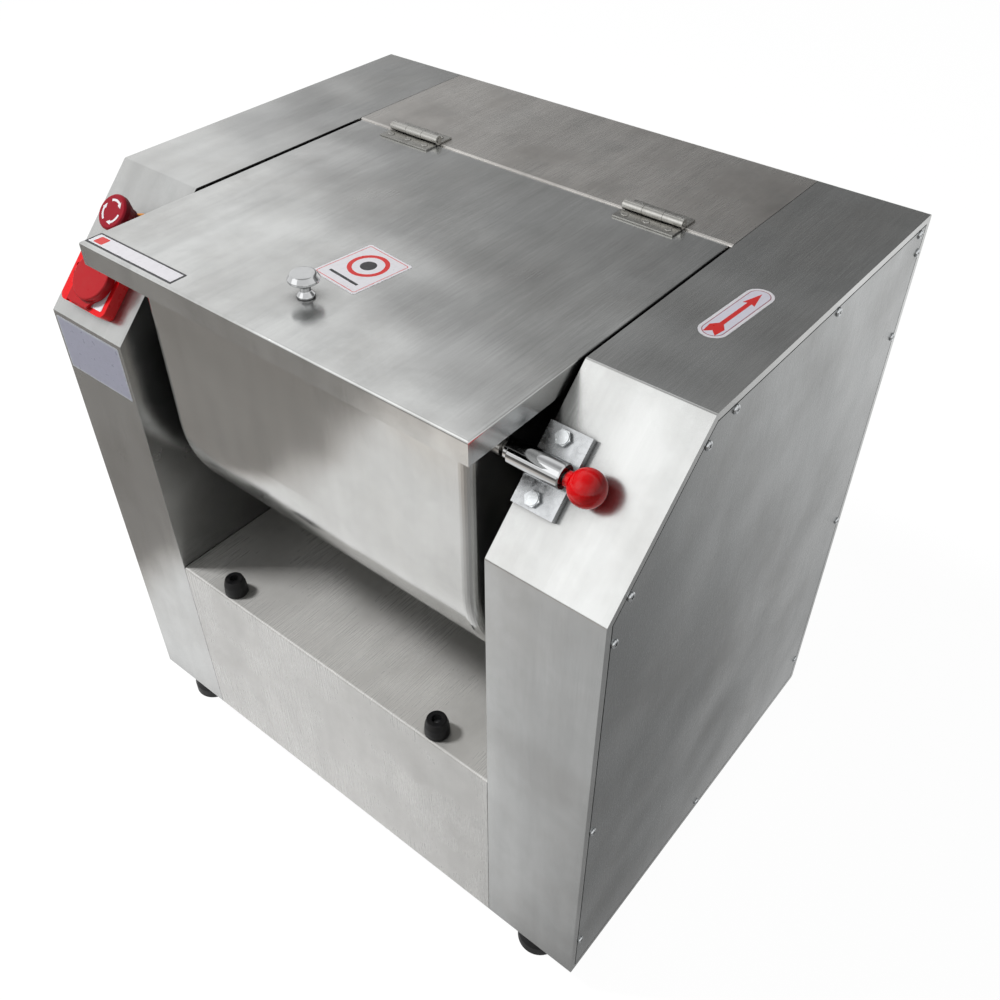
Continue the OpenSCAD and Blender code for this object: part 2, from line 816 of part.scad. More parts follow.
// Leaf with its knuckles, on one side of the pin
module hinge_leaf(side, knuckles, bore) {
    third = hinge_l / 3;
    drop = body_h - hinge_z;
    keep_out = knuckle_d / 2 + clear;
    difference() {
        union() {
            translate([-hinge_l / 2, side > 0 ? keep_out : -leaf_w, drop])
                cube([hinge_l, leaf_w - keep_out, leaf_t]);
            for (k = knuckles) translate([(k - 0.5) * third + clear / 2, 0, 0]) {
                rod_x(0, third - clear, knuckle_d);
                translate([0, side > 0 ? 0 : -keep_out - cut, drop])
                    cube([third - clear, keep_out + cut, leaf_t]);
            }
        }
        rod_x(-hinge_l, hinge_l, bore);
    }
}

module hinge_fixed_leaves() {
    color("gainsboro") place() difference() {
        at_hinges() hinge_leaf(1, [-1, 1], hinge_pin_d);
        hinge_holes(1);
    }
}

module hinge_moving_leaves() {
    color("gainsboro") place() difference() {
        at_hinges() hinge_leaf(-1, [0], hinge_pin_d + 2 * running_fit);
        hinge_holes(-1);
    }
}

module hinge_pins() {
    color("gainsboro") place() at_hinges() rod_x(-(hinge_l + leaf_t) / 2, (hinge_l + leaf_t) / 2, hinge_pin_d);
}

// Screws of the leaf on one side of the pin
module hinge_screws(side, head_h) {
    at_hinges() for (p = hinge_screw_shares)
        translate([p[0] * hinge_l, side * p[1] * leaf_w, body_h - hinge_z + leaf_t])
            pan_screw(hinge_head_d, head_h, hinge_screw_d, leaf_t + sheet_t);
}

module hinge_deck_screws() {
    color("gainsboro") place() hinge_screws(1, hinge_head_h);
}

module hinge_lid_screws() {
    color("gainsboro") place() hinge_screws(-1, hinge_head_h / 2);
}

// Trough

spigot_d = 70;
hub_d = 110;
hub_l = 20;
hub_flange_d = 140;
hub_flange_t = 5;
rim_corner_r = 10;
bead_d = 6;

// Half section of the trough, radius against length, shrunk by t
function tub_section(t) =
    let (half = tub_l / 2 - t)
    [[0, -half], [tub_r - t, -half], [tub_r - t, half], [0, half]];

// Plan of the trough's upright walls, shrunk by t
function tub_plan(t) = inset([
    [-tub_l / 2, -tub_r], [tub_l / 2, -tub_r], [tub_l / 2, tub_r], [-tub_l / 2, tub_r]], t);

// Solid of the trough about its axis, shrunk by t and raised at its mouth
module tub_solid(t, raise) {
    r = tub_corner_r - t;
    rotate([0, 90, 0]) rotate([0, 0, -90]) rotate_extrude(angle = 180)
        polygon(rounded(tub_section(t), [0, r, r, 0], corner_steps));
    linear_extrude(rim_h + raise) polygon(rounded(tub_plan(t), [r, r, r, r], corner_steps));
}

module tub() {
    rim_t = tub_t;
    color("silver") place() at_axis() difference() {
        union() {
            tub_solid(0, 0);
            translate([0, 0, rim_h - rim_t]) linear_extrude(rim_t) polygon(rounded(
                [[-tub_l / 2, -tub_r - rim_w], [tub_l / 2, -tub_r - rim_w], [tub_l / 2, tub_corner_r - tub_r],
                    [-tub_l / 2, tub_corner_r - tub_r]], [rim_corner_r, rim_corner_r, 0, 0]));
            tub_bead();
        }
        tub_solid(tub_t, cut);
        difference() {
            translate([-tub_l, 0, 0]) cube([2 * tub_l, 2 * tub_r, rim_h + cut]);
            rod_x(-tub_l, tub_l, 2 * tip_r);
        }
        rod_x(-tub_l, tub_l, spigot_d + 2 * clear);
    }
}

// Round bead that stiffens the top of the back wall
module tub_bead() {
    y = tub_r + bead_d / 2 - tub_t;
    z = min(rim_h - bead_d / 2, sqrt(pow(tip_r - bead_d / 2, 2) - y * y));
    translate([0, y, z]) rod_x(tub_corner_r - tub_l / 2, tub_l / 2 - tub_corner_r, bead_d);
}

module tub_hubs() {
    color("gainsboro") place() at_axis() for (side = [-1, 1]) on_side(side) difference() {
        union() {
            rod_x(tub_l / 2, tub_l / 2 + hub_l, hub_d);
            rod_x(tub_l / 2, tub_l / 2 + hub_flange_t, hub_flange_d);
        }
        rod_x(tub_l / 2 - cut, tub_l / 2 + hub_l + cut, spigot_d + 2 * running_fit);
    }
}

boss_d = 17;
pin_fit = 0.3;

// Moves to the locking pin's axis
module at_lock() {
    translate([0, lock_y, lock_z]) children();
}

module tub_lock_boss() {
    color("gainsboro") place() at_lock() difference() {
        rod_x(tub_l / 2, tub_l / 2 + boss_l, boss_d);
        rod_x(tub_l / 2 + tub_t, tub_l / 2 + boss_l + cut, pin_d + 2 * pin_fit);
    }
}

// Agitator and its bearings

bearing_od = 80;
bearing_w = 18;
housing_flange_d = 150;
housing_flange_t = 10;
housing_body_d = 104;
housing_body_l = 24;
housing_wall = 4;
seal_w = 8;
housing_bolt_d = 10;
housing_bolt_pcd = 127;
gear_x0 = gear_side_x + 30;
hub_extra = 4;
shaft_seat_d = 35;
key_w = 10;
key_h = 8;

module agitator_shaft() {
    end_x = gear_side_x + housing_body_l + hub_extra;
    gear_end = gear_x0 + gear_w + hub_extra;
    color("gainsboro") place() at_axis() difference() {
        union() {
            rod_x(-end_x, gear_x0 - hub_extra, shaft_d);
            rod_x(gear_x0 - hub_extra - cut, gear_end, shaft_seat_d);
        }
        translate([gear_x0 - hub_extra, -key_w / 2, shaft_seat_d / 2 - key_h / 2])
            cube([gear_w + 2 * hub_extra + cut, key_w, key_h]);
    }
}

elbow_d = 1.1 * bar_d;
bar_sleeve_d = 60;
bar_sleeve_w = 30;

// One bowed mixing bar with its arms, turned about the shaft
module mixing_bow(turn) {
    reach = tub_r - tub_t - bar_gap - bar_d / 2;
    arm_x = tub_l / 2 - tub_t - bar_gap - bar_d;
    p = [for (s = [-1, 1])
        let (a = turn + s * bar_twist / 2)
        [s * arm_x, -reach * cos(a), reach * sin(a)]];
    run = p[1] - p[0];
    for (q = p) {
        translate([q[0], 0, 0]) rotate([atan2(q[2], q[1]), 0, 0])
            rotate([-90, 0, 0]) cylinder(h = reach, d = bar_d);
        translate(q) sphere(d = elbow_d);
    }
    translate(p[0]) rotate([0, 0, atan2(run[1], run[0])])
        rotate([0, acos(run[2] / norm(run)), 0]) cylinder(h = norm(run), d = bar_d);
}

module agitator_bars() {
    arm_x = tub_l / 2 - tub_t - bar_gap - bar_d;
    color("gainsboro") place() at_axis() difference() {
        union() {
            for (turn = [0, 180]) mixing_bow(turn);
            for (s = [-1, 1]) rod_x(s * arm_x - bar_sleeve_w / 2, s * arm_x + bar_sleeve_w / 2, bar_sleeve_d);
        }
        rod_x(-tub_l, tub_l, shaft_d);
    }
}

module bearing_housings() {
    spigot_x = tub_l / 2 - tub_t - hub_extra / 4;
    body_x = gear_side_x + housing_body_l;
    color("slategray") place() at_axis() for (side = [-1, 1]) on_side(side) difference() {
        union() {
            rod_x(spigot_x, gear_side_x + cut, spigot_d);
            rod_x(gear_side_x, gear_side_x + housing_flange_t, housing_flange_d);
            rod_x(gear_side_x, body_x, housing_body_d);
        }
        rod_x(spigot_x - cut, body_x + cut, shaft_d + 2 * clear);
        rod_x(spigot_x - cut, spigot_x + seal_w, seal_d);
        rod_x(body_x - housing_wall - bearing_w, body_x - housing_wall, bearing_od);
        rod_x(body_x - housing_wall - cut, body_x + cut, bearing_od - 2 * housing_wall);
        bearing_bolt_holes();
    }
}

seal_d = 58;

// Runs its child at each bolt of a bearing housing, with Z out of the flange
module at_housing_bolts() {
    for (a = [45 : 90 : 315]) rotate([a, 0, 0])
        translate([gear_side_x + housing_flange_t, housing_bolt_pcd / 2, 0]) rotate([0, 90, 0]) children();
}

module bearing_bolt_holes() {
    at_housing_bolts() translate([0, 0, -housing_flange_t - cut])
        cylinder(h = housing_flange_t + 2 * cut, d = housing_bolt_d);
}

module bearing_housing_bolts() {
    color("gainsboro") place() at_axis() for (side = [-1, 1]) on_side(side) at_housing_bolts() {
        hex_bolt(housing_bolt_d);
        translate([0, 0, -housing_flange_t]) cylinder(h = housing_flange_t + cut, d = housing_bolt_d);
    }
}

module shaft_bearings() {
    x0 = gear_side_x + housing_body_l - housing_wall - bearing_w;
    color("gainsboro") place() at_axis() for (side = [-1, 1]) on_side(side)
        ball_bearing(x0, bearing_w, bearing_od, shaft_d);
}

// Ball bearing between a housing bore and a shaft
module ball_bearing(x0, w, od, bore) {
    groove = 0.25 * w;
    mid_d = (od + bore) / 2;
    ring_t = (od - bore) / 6;
    difference() {
        ring_x(x0, x0 + w, od, bore + 2 * running_fit);
        for (x = [x0 - cut, x0 + w - groove / 2]) translate([x, 0, 0])
            ring_x(0, groove / 2 + cut, mid_d + ring_t, mid_d - ring_t);
    }
}

module shaft_seals() {
    x0 = tub_l / 2 - tub_t - hub_extra / 4;
    color("black") place() at_axis() for (side = [-1, 1]) on_side(side) difference() {
        ring_x(x0, x0 + seal_w, seal_d, shaft_d + 2 * running_fit);
        ring_x(x0 - cut, x0 + seal_w / 4, (seal_d + shaft_d) / 2 + seal_w / 4, (seal_d + shaft_d) / 2 - seal_w / 4);
    }
}

// Drive

pressure_angle = 20;
backlash = 0.35;
flank_steps = 3;

// Involute function of an angle, in degrees
function involute(a) = tan(a) * 180 / PI - a;

// Half the angle of a tooth at radius r
function tooth_half(teeth, r) =
    let (
        pitch_r = addendum_h * teeth / 2,
        base_r = pitch_r * cos(pressure_angle),
        play = backlash / 2 / pitch_r * 180 / PI
    )
    90 / teeth - play + involute(pressure_angle) - involute(acos(min(1, base_r / r)));

// Outline of a spur gear
function gear_outline(teeth) =
    let (
        pitch_r = addendum_h * teeth / 2,
        base_r = pitch_r * cos(pressure_angle),
        root_r = pitch_r - 1.25 * addendum_h,
        tip_r = pitch_r + addendum_h,
        start_r = max(base_r, root_r),
        radii = [for (k = [0 : flank_steps]) start_r + (tip_r - start_r) * k / flank_steps],
        rise = concat([[root_r, tooth_half(teeth, start_r)]], [for (r = radii) [r, tooth_half(teeth, r)]])
    )
    [for (i = [0 : teeth - 1]) for (s = [-1, 1]) for (q = s < 0 ? rise : reversed(rise))
        let (a = i * 360 / teeth + s * q[1]) q[0] * [cos(a), sin(a)]];

web_t = 12;
rim_t = 14;
gear_hub_d = 66;
web_hole_d = 52;
web_holes = 6;

module main_gear() {
    root_r = addendum_h * gear_teeth / 2 - 1.25 * addendum_h;
    rim_in = root_r - rim_t;
    color("slategray") place() at_axis() rotate([drive_angle, 0, 0]) difference() {
        union() {
            along_x(gear_x0, gear_x0 + gear_w) polygon(gear_outline(gear_teeth));
            rod_x(gear_x0 - hub_extra, gear_x0 + gear_w + hub_extra, gear_hub_d);
        }
        for (x = [gear_x0 - cut, gear_x0 + (gear_w + web_t) / 2])
            ring_x(x, x + (gear_w - web_t) / 2 + cut, 2 * rim_in, gear_hub_d);
        for (i = [0 : web_holes - 1]) rotate([i * 360 / web_holes, 0, 0])
            translate([0, (rim_in + gear_hub_d / 2) / 2, 0])
                rod_x(gear_x0, gear_x0 + gear_w, web_hole_d);
        rod_x(gear_x0 - 2 * hub_extra, gear_x0 + gear_w + 2 * hub_extra, shaft_seat_d);
        rotate([-drive_angle, 0, 0]) translate([gear_x0 - 2 * hub_extra, -key_w / 2, 0])
            cube([gear_w + 4 * hub_extra, key_w, shaft_seat_d / 2 + key_h / 2]);
    }
}

module gear_key() {
    color("dimgray") place() at_axis()
        translate([gear_x0 - hub_extra, -key_w / 2, shaft_seat_d / 2 - key_h / 2])
            cube([gear_w + 2 * hub_extra, key_w, key_h]);
}

module gear_retainer() {
    x0 = gear_x0 + gear_w + hub_extra;
    color("gainsboro") place() at_axis() {
        rod_x(x0, x0 + hub_extra, 0.8 * gear_hub_d);
        translate([x0 + hub_extra, 0, 0]) rotate([0, 90, 0]) hex_bolt(housing_bolt_d);
    }
}

counter_bearing_od = 47;
counter_bearing_w = 14;
counter_housing_d = 70;
counter_housing_l = 18;
bracket_plate_x = gear_x0 + gear_w + hub_extra;
bracket_plate_t = 14;
pulley_x0 = bracket_plate_x + bracket_plate_t + hub_extra;
counter_end = pulley_x0 + pulley_w;

module countershaft() {
    color("gainsboro") place() at_counter() rod_x(gear_side_x + hub_extra / 2, counter_end, counter_d);
}

module pinion() {
    root_d = addendum_h * pinion_teeth - 2.5 * addendum_h;
    inner_end = gear_side_x + counter_housing_l;
    color("slategray") place() at_counter() rotate([drive_angle + 180 + 180 / pinion_teeth, 0, 0]) difference() {
        union() {
            along_x(gear_x0 - hub_extra / 2, gear_x0 + gear_w + hub_extra / 2) polygon(gear_outline(pinion_teeth));
            rod_x(inner_end + clear, gear_x0, min(root_d, 2 * counter_d));
        }
        rod_x(inner_end - cut, gear_x0 + gear_w + hub_extra, counter_d);
    }
}

module countershaft_bearings() {
    color("slategray") place() at_counter() {
        difference() {
            union() {
                rod_x(gear_side_x, gear_side_x + counter_housing_l, counter_housing_d);
                rod_x(gear_side_x, gear_side_x + hub_extra, counter_housing_d + 2 * housing_bolt_d);
            }
            rod_x(gear_side_x + hub_extra / 4, gear_side_x + counter_housing_l + cut, counter_d + 2 * running_fit);
            ring_x(gear_side_x + counter_housing_l - hub_extra / 2, gear_side_x + counter_housing_l + cut,
                counter_bearing_od, counter_bearing_od / 2 + counter_d / 2);
        }
        ball_bearing(bracket_plate_x, bracket_plate_t, counter_bearing_od, counter_d);
    }
}

spacer_d = 20;
// Places of the outboard bracket's spacers about the countershaft, as shares of the shaft distance
spacer_shares = [[0.34, 0.26], [0.36, -0.3], [-0.26, -0.34]];

module outboard_bracket() {
    boss_r = counter_bearing_od / 2 + 2 * hub_extra;
    color("dimgray") place() at_counter() difference() {
        union() {
            along_x(bracket_plate_x, bracket_plate_x + bracket_plate_t) {
                polygon([for (s = spacer_shares) s * counter_dist]);
                circle(r = boss_r);
                for (s = spacer_shares) translate(s * counter_dist) circle(d = 1.6 * spacer_d);
            }
            for (s = spacer_shares) translate([0, s[0] * counter_dist, s[1] * counter_dist])
                rod_x(gear_side_x, bracket_plate_x + cut, spacer_d);
        }
        rod_x(bracket_plate_x - cut, bracket_plate_x + bracket_plate_t + cut, counter_bearing_od);
    }
}

groove_pitch = 12;
belt_w = 10;
belt_h = 6;
belt_gap = 0.3;
groove_x = [for (s = [-1, 1]) pulley_x0 + pulley_w / 2 + s * groove_pitch / 2];
belt_low_w = 0.55 * belt_w;

// Section of a belt against radius, grown by g on its flanks and base
function belt_section(r_top, g) = [
    [r_top - belt_h - g, -belt_low_w / 2 - g], [r_top + g * 2, -belt_w / 2 - g],
    [r_top + g * 2, belt_w / 2 + g], [r_top - belt_h - g, belt_low_w / 2 + g]];

// Turns a profile of radius against X about the X axis
module turned_x(from = 0, sweep = 360) {
    rotate([from, 0, 0]) rotate([0, 90, 0]) rotate([0, 0, 90]) rotate_extrude(angle = sweep) children();
}

// Grooved pulley about the X axis
module pulley(d, hub_d, bore, holes) {
    web = 0.8 * belt_w;
    difference() {
        rod_x(pulley_x0, pulley_x0 + pulley_w, d);
        for (x = groove_x) translate([x, 0, 0]) turned_x() polygon(belt_section(d / 2, belt_gap));
        rod_x(pulley_x0 - cut, pulley_x0 + pulley_w + cut, bore);
        if (holes > 0) {
            rim_in = d / 2 - belt_h - web;
            for (x = [pulley_x0 - cut, pulley_x0 + (pulley_w + web) / 2])
                ring_x(x, x + (pulley_w - web) / 2 + cut, 2 * rim_in, hub_d);
            for (i = [0 : holes - 1]) rotate([i * 360 / holes, 0, 0])
                translate([0, (rim_in + hub_d / 2) / 2, 0])
                    rod_x(pulley_x0, pulley_x0 + pulley_w, 0.7 * (rim_in - hub_d / 2));
        }
    }
}

module large_pulley() {
    color("slategray") place() at_counter() pulley(pulley_d, 2 * counter_d, counter_d, 5);
}

module motor_pulley() {
    color("slategray") place() at_motor() pulley(motor_pulley_d, motor_pulley_d, motor_shaft_d, 0);
}

module v_belts() {
    d = norm([motor_y - counter_y, motor_z - counter_z]);
    line = atan2(motor_z - counter_z, motor_y - counter_y);
    lean = asin((pulley_d - motor_pulley_d) / 2 / d);
    span = d * cos(lean);
    color("black") place() for (x = groove_x) translate([x, 0, 0]) {
        at_counter() turned_x(line + 90 - lean, 180 + 2 * lean) polygon(belt_section(pulley_d / 2, 0));
        at_motor() turned_x(line - 90 + lean, 180 - 2 * lean) polygon(belt_section(motor_pulley_d / 2, 0));
        at_counter() for (s = [-1, 1]) rotate([line + s * (90 - lean), 0, 0])
            belt_span(span, -s);
    }
}

// Straight run of a belt from its tangent point on the large pulley
module belt_span(span, way) {
    multmatrix([[0, 1, 0, 0], [1, 0, 0, 0], [0, 0, way, 0], [0, 0, 0, 1]])
        linear_extrude(span) polygon(belt_section(pulley_d / 2, 0));
}

// Motor

shield_t = 22;
fin_count = 32;
fin_t = 2.4;
fin_h = 9;
motor_end_x = pulley_x0 - 22;
cowl_l = 50;
foot_w = 140;
foot_l = 30;
foot_t = 10;
motor_bolt_d = 8;

module motor_shaft() {
    color("gainsboro") place() at_motor() rod_x(motor_end_x + clear, pulley_x0 + pulley_w, motor_shaft_d);
}

module motor_body() {
    x0 = motor_end_x - 2 * shield_t - motor_l;
    core_d = motor_d - 2 * fin_h;
    color("steelblue") place() at_motor() difference() {
        union() {
            rod_x(x0 + shield_t, motor_end_x - shield_t, core_d);
            for (x = [x0, motor_end_x - shield_t]) rod_x(x, x + shield_t, motor_d - fin_h);
            rod_x(motor_end_x - shield_t, motor_end_x, 0.35 * motor_d);
            for (i = [0 : fin_count - 1]) rotate([i * 360 / fin_count, 0, 0])
                translate([x0 + shield_t - cut, core_d / 2 - cut, -fin_t / 2])
                    cube([motor_l + 2 * cut, fin_h + cut, fin_t]);
            for (x = motor_foot_x) translate([x - foot_l / 2, 0, -motor_h]) {
                translate([0, -foot_w / 2, 0]) cube([foot_l, foot_w, foot_t]);
                translate([0, -core_d / 4, 0]) cube([foot_l, core_d / 2, motor_h - core_d / 4]);
            }
        }
        translate([0, 0, -motor_h]) motor_foot_holes(foot_t);
        rod_x(motor_end_x - shield_t, motor_end_x + cut, motor_shaft_d + 2 * running_fit);
    }
}

motor_bolt_y = 62;

// Bolt holes in the motor's feet, up from Z zero
module motor_foot_holes(h) {
    for (x = motor_foot_x, s = [-1, 1]) translate([x, s * motor_bolt_y, -cut])
        cylinder(h = h + 2 * cut, d = motor_bolt_d);
}

// The same holes through the plate and down into the frame's rails
module motor_plate_holes(down) {
    translate([0, motor_y, frame_z1 - down]) motor_foot_holes(down + motor_plate_t);
}

cowl_t = 2;
cowl_lap = 8;
cowl_slots = 9;
cowl_slot_w = 5;

// Profile of the fan cowl, radius against length, shrunk by t
function cowl_profile(t) =
    let (r = (motor_d - fin_h) / 2 + running_fit + cowl_t - t, end = cowl_l + cowl_lap + t)
    rounded([[0, t], [r, t], [r, end], [0, end]], [0, shield_t / 2 - t, 0, 0]);

module motor_fan_cowl() {
    x0 = motor_end_x - 2 * shield_t - motor_l - cowl_l;
    color("steelblue") place() at_motor() translate([x0, 0, 0]) difference() {
        turned_x() polygon(cowl_profile(0));
        turned_x() polygon(cowl_profile(cowl_t));
        for (i = [0 : cowl_slots - 1])
            translate([-cut, -motor_d / 3, (2.4 * (i - (cowl_slots - 1) / 2) - 0.5) * cowl_slot_w])
                cube([cowl_t + 2 * cut, 2 * motor_d / 3, cowl_slot_w]);
    }
}

terminal_w = 80;
terminal_h = 34;

module motor_terminal_box() {
    box = [terminal_w, terminal_w, terminal_h];
    x0 = motor_end_x - shield_t - motor_l;
    color("steelblue") place() at_motor() translate([x0, -box[1] / 2, 0]) difference() {
        translate([0, 0, motor_d / 2 - fin_h / 2]) cube([box[0], box[1], box[2]]);
        translate([-x0, box[1] / 2, 0]) rod_x(0, body_w, motor_d + 2 * running_fit);
        translate([hub_extra, hub_extra, motor_d / 2 - fin_h / 2 + box[2] - hub_extra])
            difference() {
                translate([-hub_extra - cut, -hub_extra - cut, 0])
                    cube([box[0] + 2 * cut, box[1] + 2 * cut, sheet_t]);
                cube([box[0] - 2 * hub_extra, box[1] - 2 * hub_extra, 2 * sheet_t]);
            }
    }
}

module motor_plate() {
    margin = tube_w / 2;
    x0 = motor_foot_x[0] - margin;
    x1 = motor_foot_x[1] + margin;
    color("dimgray") place() difference() {
        translate([x0, motor_y - motor_bolt_y - margin, frame_z1])
            cube([x1 - x0, 2 * (motor_bolt_y + margin), motor_plate_t]);
        motor_plate_holes(cut);
    }
}

module motor_bolts() {
    color("gainsboro") place() translate([0, motor_y, motor_z - motor_h]) for (x = motor_foot_x, s = [-1, 1])
        translate([x, s * motor_bolt_y, 0]) {
            translate([0, 0, foot_t]) hex_bolt(motor_bolt_d, false);
            translate([0, 0, -motor_plate_t - tube_t])
                cylinder(h = motor_plate_t + tube_t + foot_t + cut, d = motor_bolt_d);
        }
}

// Lock

// How far the barrel reaches out over the gap beside the trough
barrel_reach = 11;
barrel_x0 = inner_x - barrel_reach;
barrel_x1 = barrel_x0 + barrel_l;
barrel_bore = 15;
barrel_wall = 5;
rod_d = 8;
collar_d = 14.6;
collar_t = 4;
guide_l = 4;
boss_gap = 4.5;
boss_l = tub_gap - barrel_reach - guide_l - boss_gap;
// How far the pulled pin stands clear of the boss
pin_free = 3.5;
tip_x = tub_l / 2 + boss_l + pin_free - pin_travel;
ball_gap = 4.5;
ball_x = barrel_x1 + ball_d / 2 + ball_gap;

module lock_bracket() {
    saddle_w = 0.7 * bracket_w;
    color("gainsboro") place() difference() {
        union() {
            on_slope(bracket_x, lock_slope_l) translate([0, -bracket_l / 2, 0])
                cube([bracket_w, bracket_l, bracket_t]);
            on_slope(bracket_x, lock_slope_l) translate([(bracket_w - saddle_w) / 2, -barrel_d / 3, 0])
                cube([saddle_w, 2 * barrel_d / 3, lock_rise - barrel_d / 4]);
        }
        at_lock() rod_x(0, body_w, barrel_d);
        for (s = [-1, 1]) on_slope(bracket_x + bolt_x_share * bracket_w, lock_slope_l + s * bolt_pitch / 2)
            translate([0, 0, -cut]) cylinder(h = bracket_t + 2 * cut, d = m8 + 2 * running_fit);
    }
}

module lock_bolts() {
    below = bracket_t + sheet_t + m8;
    color("gainsboro") place() for (s = [-1, 1])
        on_slope(bracket_x + bolt_x_share * bracket_w, lock_slope_l + s * bolt_pitch / 2) {
            translate([0, 0, bracket_t]) hex_bolt(m8, false);
            translate([0, 0, bracket_t - below]) cylinder(h = below + cut, d = m8);
            translate([0, 0, -sheet_t - 0.8 * m8]) cylinder(h = 0.8 * m8, d = 1.875 * m8, $fn = 6);
        }
}

module lock_barrel() {
    chamfer = barrel_wall / 5;
    color("gainsboro") place() at_lock() difference() {
        union() {
            translate([barrel_x0, 0, 0]) turned_x() polygon([
                [0, 0], [barrel_d / 2 - chamfer, 0], [barrel_d / 2, chamfer],
                [barrel_d / 2, barrel_l - chamfer], [barrel_d / 2 - chamfer, barrel_l], [0, barrel_l]]);
            rod_x(barrel_x0 - guide_l, barrel_x0 + chamfer, 0.78 * barrel_d);
        }
        rod_x(barrel_x0 + barrel_wall, barrel_x1 - barrel_wall, barrel_bore);
        rod_x(barrel_x0 - guide_l - cut, barrel_x0 + barrel_wall + cut, pin_d + 2 * running_fit);
        rod_x(barrel_x1 - barrel_wall - cut, barrel_x1 + cut, rod_d + 2 * running_fit);
    }
}

module lock_pin() {
    collar_x = barrel_x0 + barrel_wall + 2 * running_fit;
    nose = 0.15 * pin_d;
    color("gainsboro") place() at_lock() {
        translate([tip_x, 0, 0]) turned_x() polygon([
            [0, 0], [pin_d / 2 - nose, 0], [pin_d / 2, nose], [pin_d / 2, collar_x - tip_x],
            [collar_d / 2, collar_x - tip_x], [collar_d / 2, collar_x - tip_x + collar_t],
            [rod_d / 2, collar_x - tip_x + collar_t], [rod_d / 2, ball_x - tip_x], [0, ball_x - tip_x]]);
    }
}

spring_wire = 1.6;
spring_turns = 7;
spring_steps = 12;
spring_sides = 6;

// Unbroken coil about the X axis between the pin's collar and the barrel's end
module lock_spring() {
    x0 = barrel_x0 + barrel_wall + 2 * running_fit + collar_t + spring_wire / 2;
    x1 = barrel_x1 - barrel_wall - spring_wire / 2;
    coil_r = (barrel_bore + rod_d) / 4;
    rings = spring_turns * spring_steps;
    points = [for (i = [0 : rings]) for (k = [0 : spring_sides - 1])
        let (
            a = 360 * i / spring_steps,
            b = 360 * k / spring_sides,
            r = coil_r + spring_wire / 2 * cos(b)
        )
        [x0 + (x1 - x0) * i / rings + spring_wire / 2 * sin(b), r * cos(a), r * sin(a)]];
    walls = [for (i = [0 : rings - 1]) for (k = [0 : spring_sides - 1])
        let (p = i * spring_sides, n = (k + 1) % spring_sides)
        each [[p + k, p + n, p + spring_sides + n], [p + k, p + spring_sides + n, p + spring_sides + k]]];
    ends = [for (k = [1 : spring_sides - 2]) each [
        [0, k + 1, k],
        [rings * spring_sides, rings * spring_sides + k, rings * spring_sides + k + 1]]];
    color("gainsboro") place() at_lock() polyhedron(points, concat(walls, ends));
}

module lock_ball() {
    color("red") place() at_lock() difference() {
        union() {
            translate([ball_x, 0, 0]) sphere(d = ball_d);
            rod_x(ball_x - 0.58 * ball_d, ball_x, 0.42 * ball_d);
        }
        rod_x(ball_x - ball_d, ball_x, rod_d);
    }
}

// Controls

estop_collar_d = 29;
estop_collar_h = 12;
estop_neck_d = 16;
estop_head_h = 24;
estop_gap = 5.5;
// Profile of the head: its waist as a share of its radius, the other two of its height
estop_waist_share = 0.64;
estop_foot_share = 0.12;
estop_rim_share = 0.7;
flute_count = 24;
flute_d = 1.6;
estop_block_w = 30;
estop_block_h = 38;

module estop_base() {
    r = estop_collar_d / 2;
    block = [estop_block_w, estop_block_w, estop_block_h];
    color("orange") place() on_side(-1) on_slope(estop_x, estop_slope_l) difference() {
        union() {
            rotate_extrude() polygon(rounded(
                [[0, 0], [r, 0], [r, 0.2 * estop_collar_h], [0.72 * r, estop_collar_h], [0, estop_collar_h]],
                [0, 0, 0.1 * r, 0.1 * r, 0]));
            translate([0, 0, -sheet_t - cut]) cylinder(h = sheet_t + 2 * cut, d = estop_hole_d - 2 * running_fit);
            translate([0, 0, -sheet_t - estop_gap]) cylinder(h = estop_gap, d = 1.3 * estop_hole_d);
            translate([-block[0] / 2, -block[1] / 2, -sheet_t - estop_gap - block[2]]) cube(block);
        }
        translate([0, 0, -estop_gap - estop_travel - cut])
            cylinder(h = 2 * estop_collar_h + estop_gap, d = estop_neck_d + 2 * running_fit);
    }
}

module estop_stem() {
    color("dimgray") place() on_side(-1) on_slope(estop_x, estop_slope_l)
        translate([0, 0, -estop_gap])
            cylinder(h = estop_collar_h + 2 * estop_gap + estop_head_h / 2, d = estop_neck_d);
}

module estop_head() {
    z0 = estop_collar_h + estop_gap;
    r = estop_d / 2;
    flute_tilt = atan2((1 - estop_waist_share) * r, (estop_rim_share - estop_foot_share) * estop_head_h);
    color("crimson") place() on_side(-1) on_slope(estop_x, estop_slope_l) difference() {
        translate([0, 0, z0]) rotate_extrude() polygon(rounded(
            [[0, 0], [estop_waist_share * r, 0], [estop_waist_share * r, estop_foot_share * estop_head_h],
                [r, estop_rim_share * estop_head_h], [r, 0.92 * estop_head_h],
                [0.9 * r, estop_head_h], [0, estop_head_h]],
            [0, 0, 0, 0.1 * r, 0.1 * r, 0.1 * r, 0]));
        translate([0, 0, z0 - cut]) cylinder(h = estop_head_h / 2 + cut, d = estop_neck_d + 2 * running_fit);
        for (i = [0 : flute_count - 1]) rotate([0, 0, i * 360 / flute_count])
            translate([r, 0, z0 + estop_rim_share * estop_head_h]) rotate([0, flute_tilt, 0])
                translate([0, 0, -estop_head_h]) cylinder(h = estop_head_h, d = flute_d, $fn = 8);
    }
}

switch_corner_r = 8;
switch_rim_h = 3;
switch_rim_w = 12;
dial_h = 10;
dial_tail_h = 4;
dial_offset = 4;
dial_pin_d = 12;
dial_foot_h = 6;
switch_mark_d = 5;
switch_block_h = 45;
// Outline of the knob's tail about the box's middle, in shares of the box's side
dial_tail_shares = [[0.31, 0], [0.31, -0.47], [-0.15, -0.47], [-0.22, -0.35], [-0.37, -0.2], [-0.05, 0]];
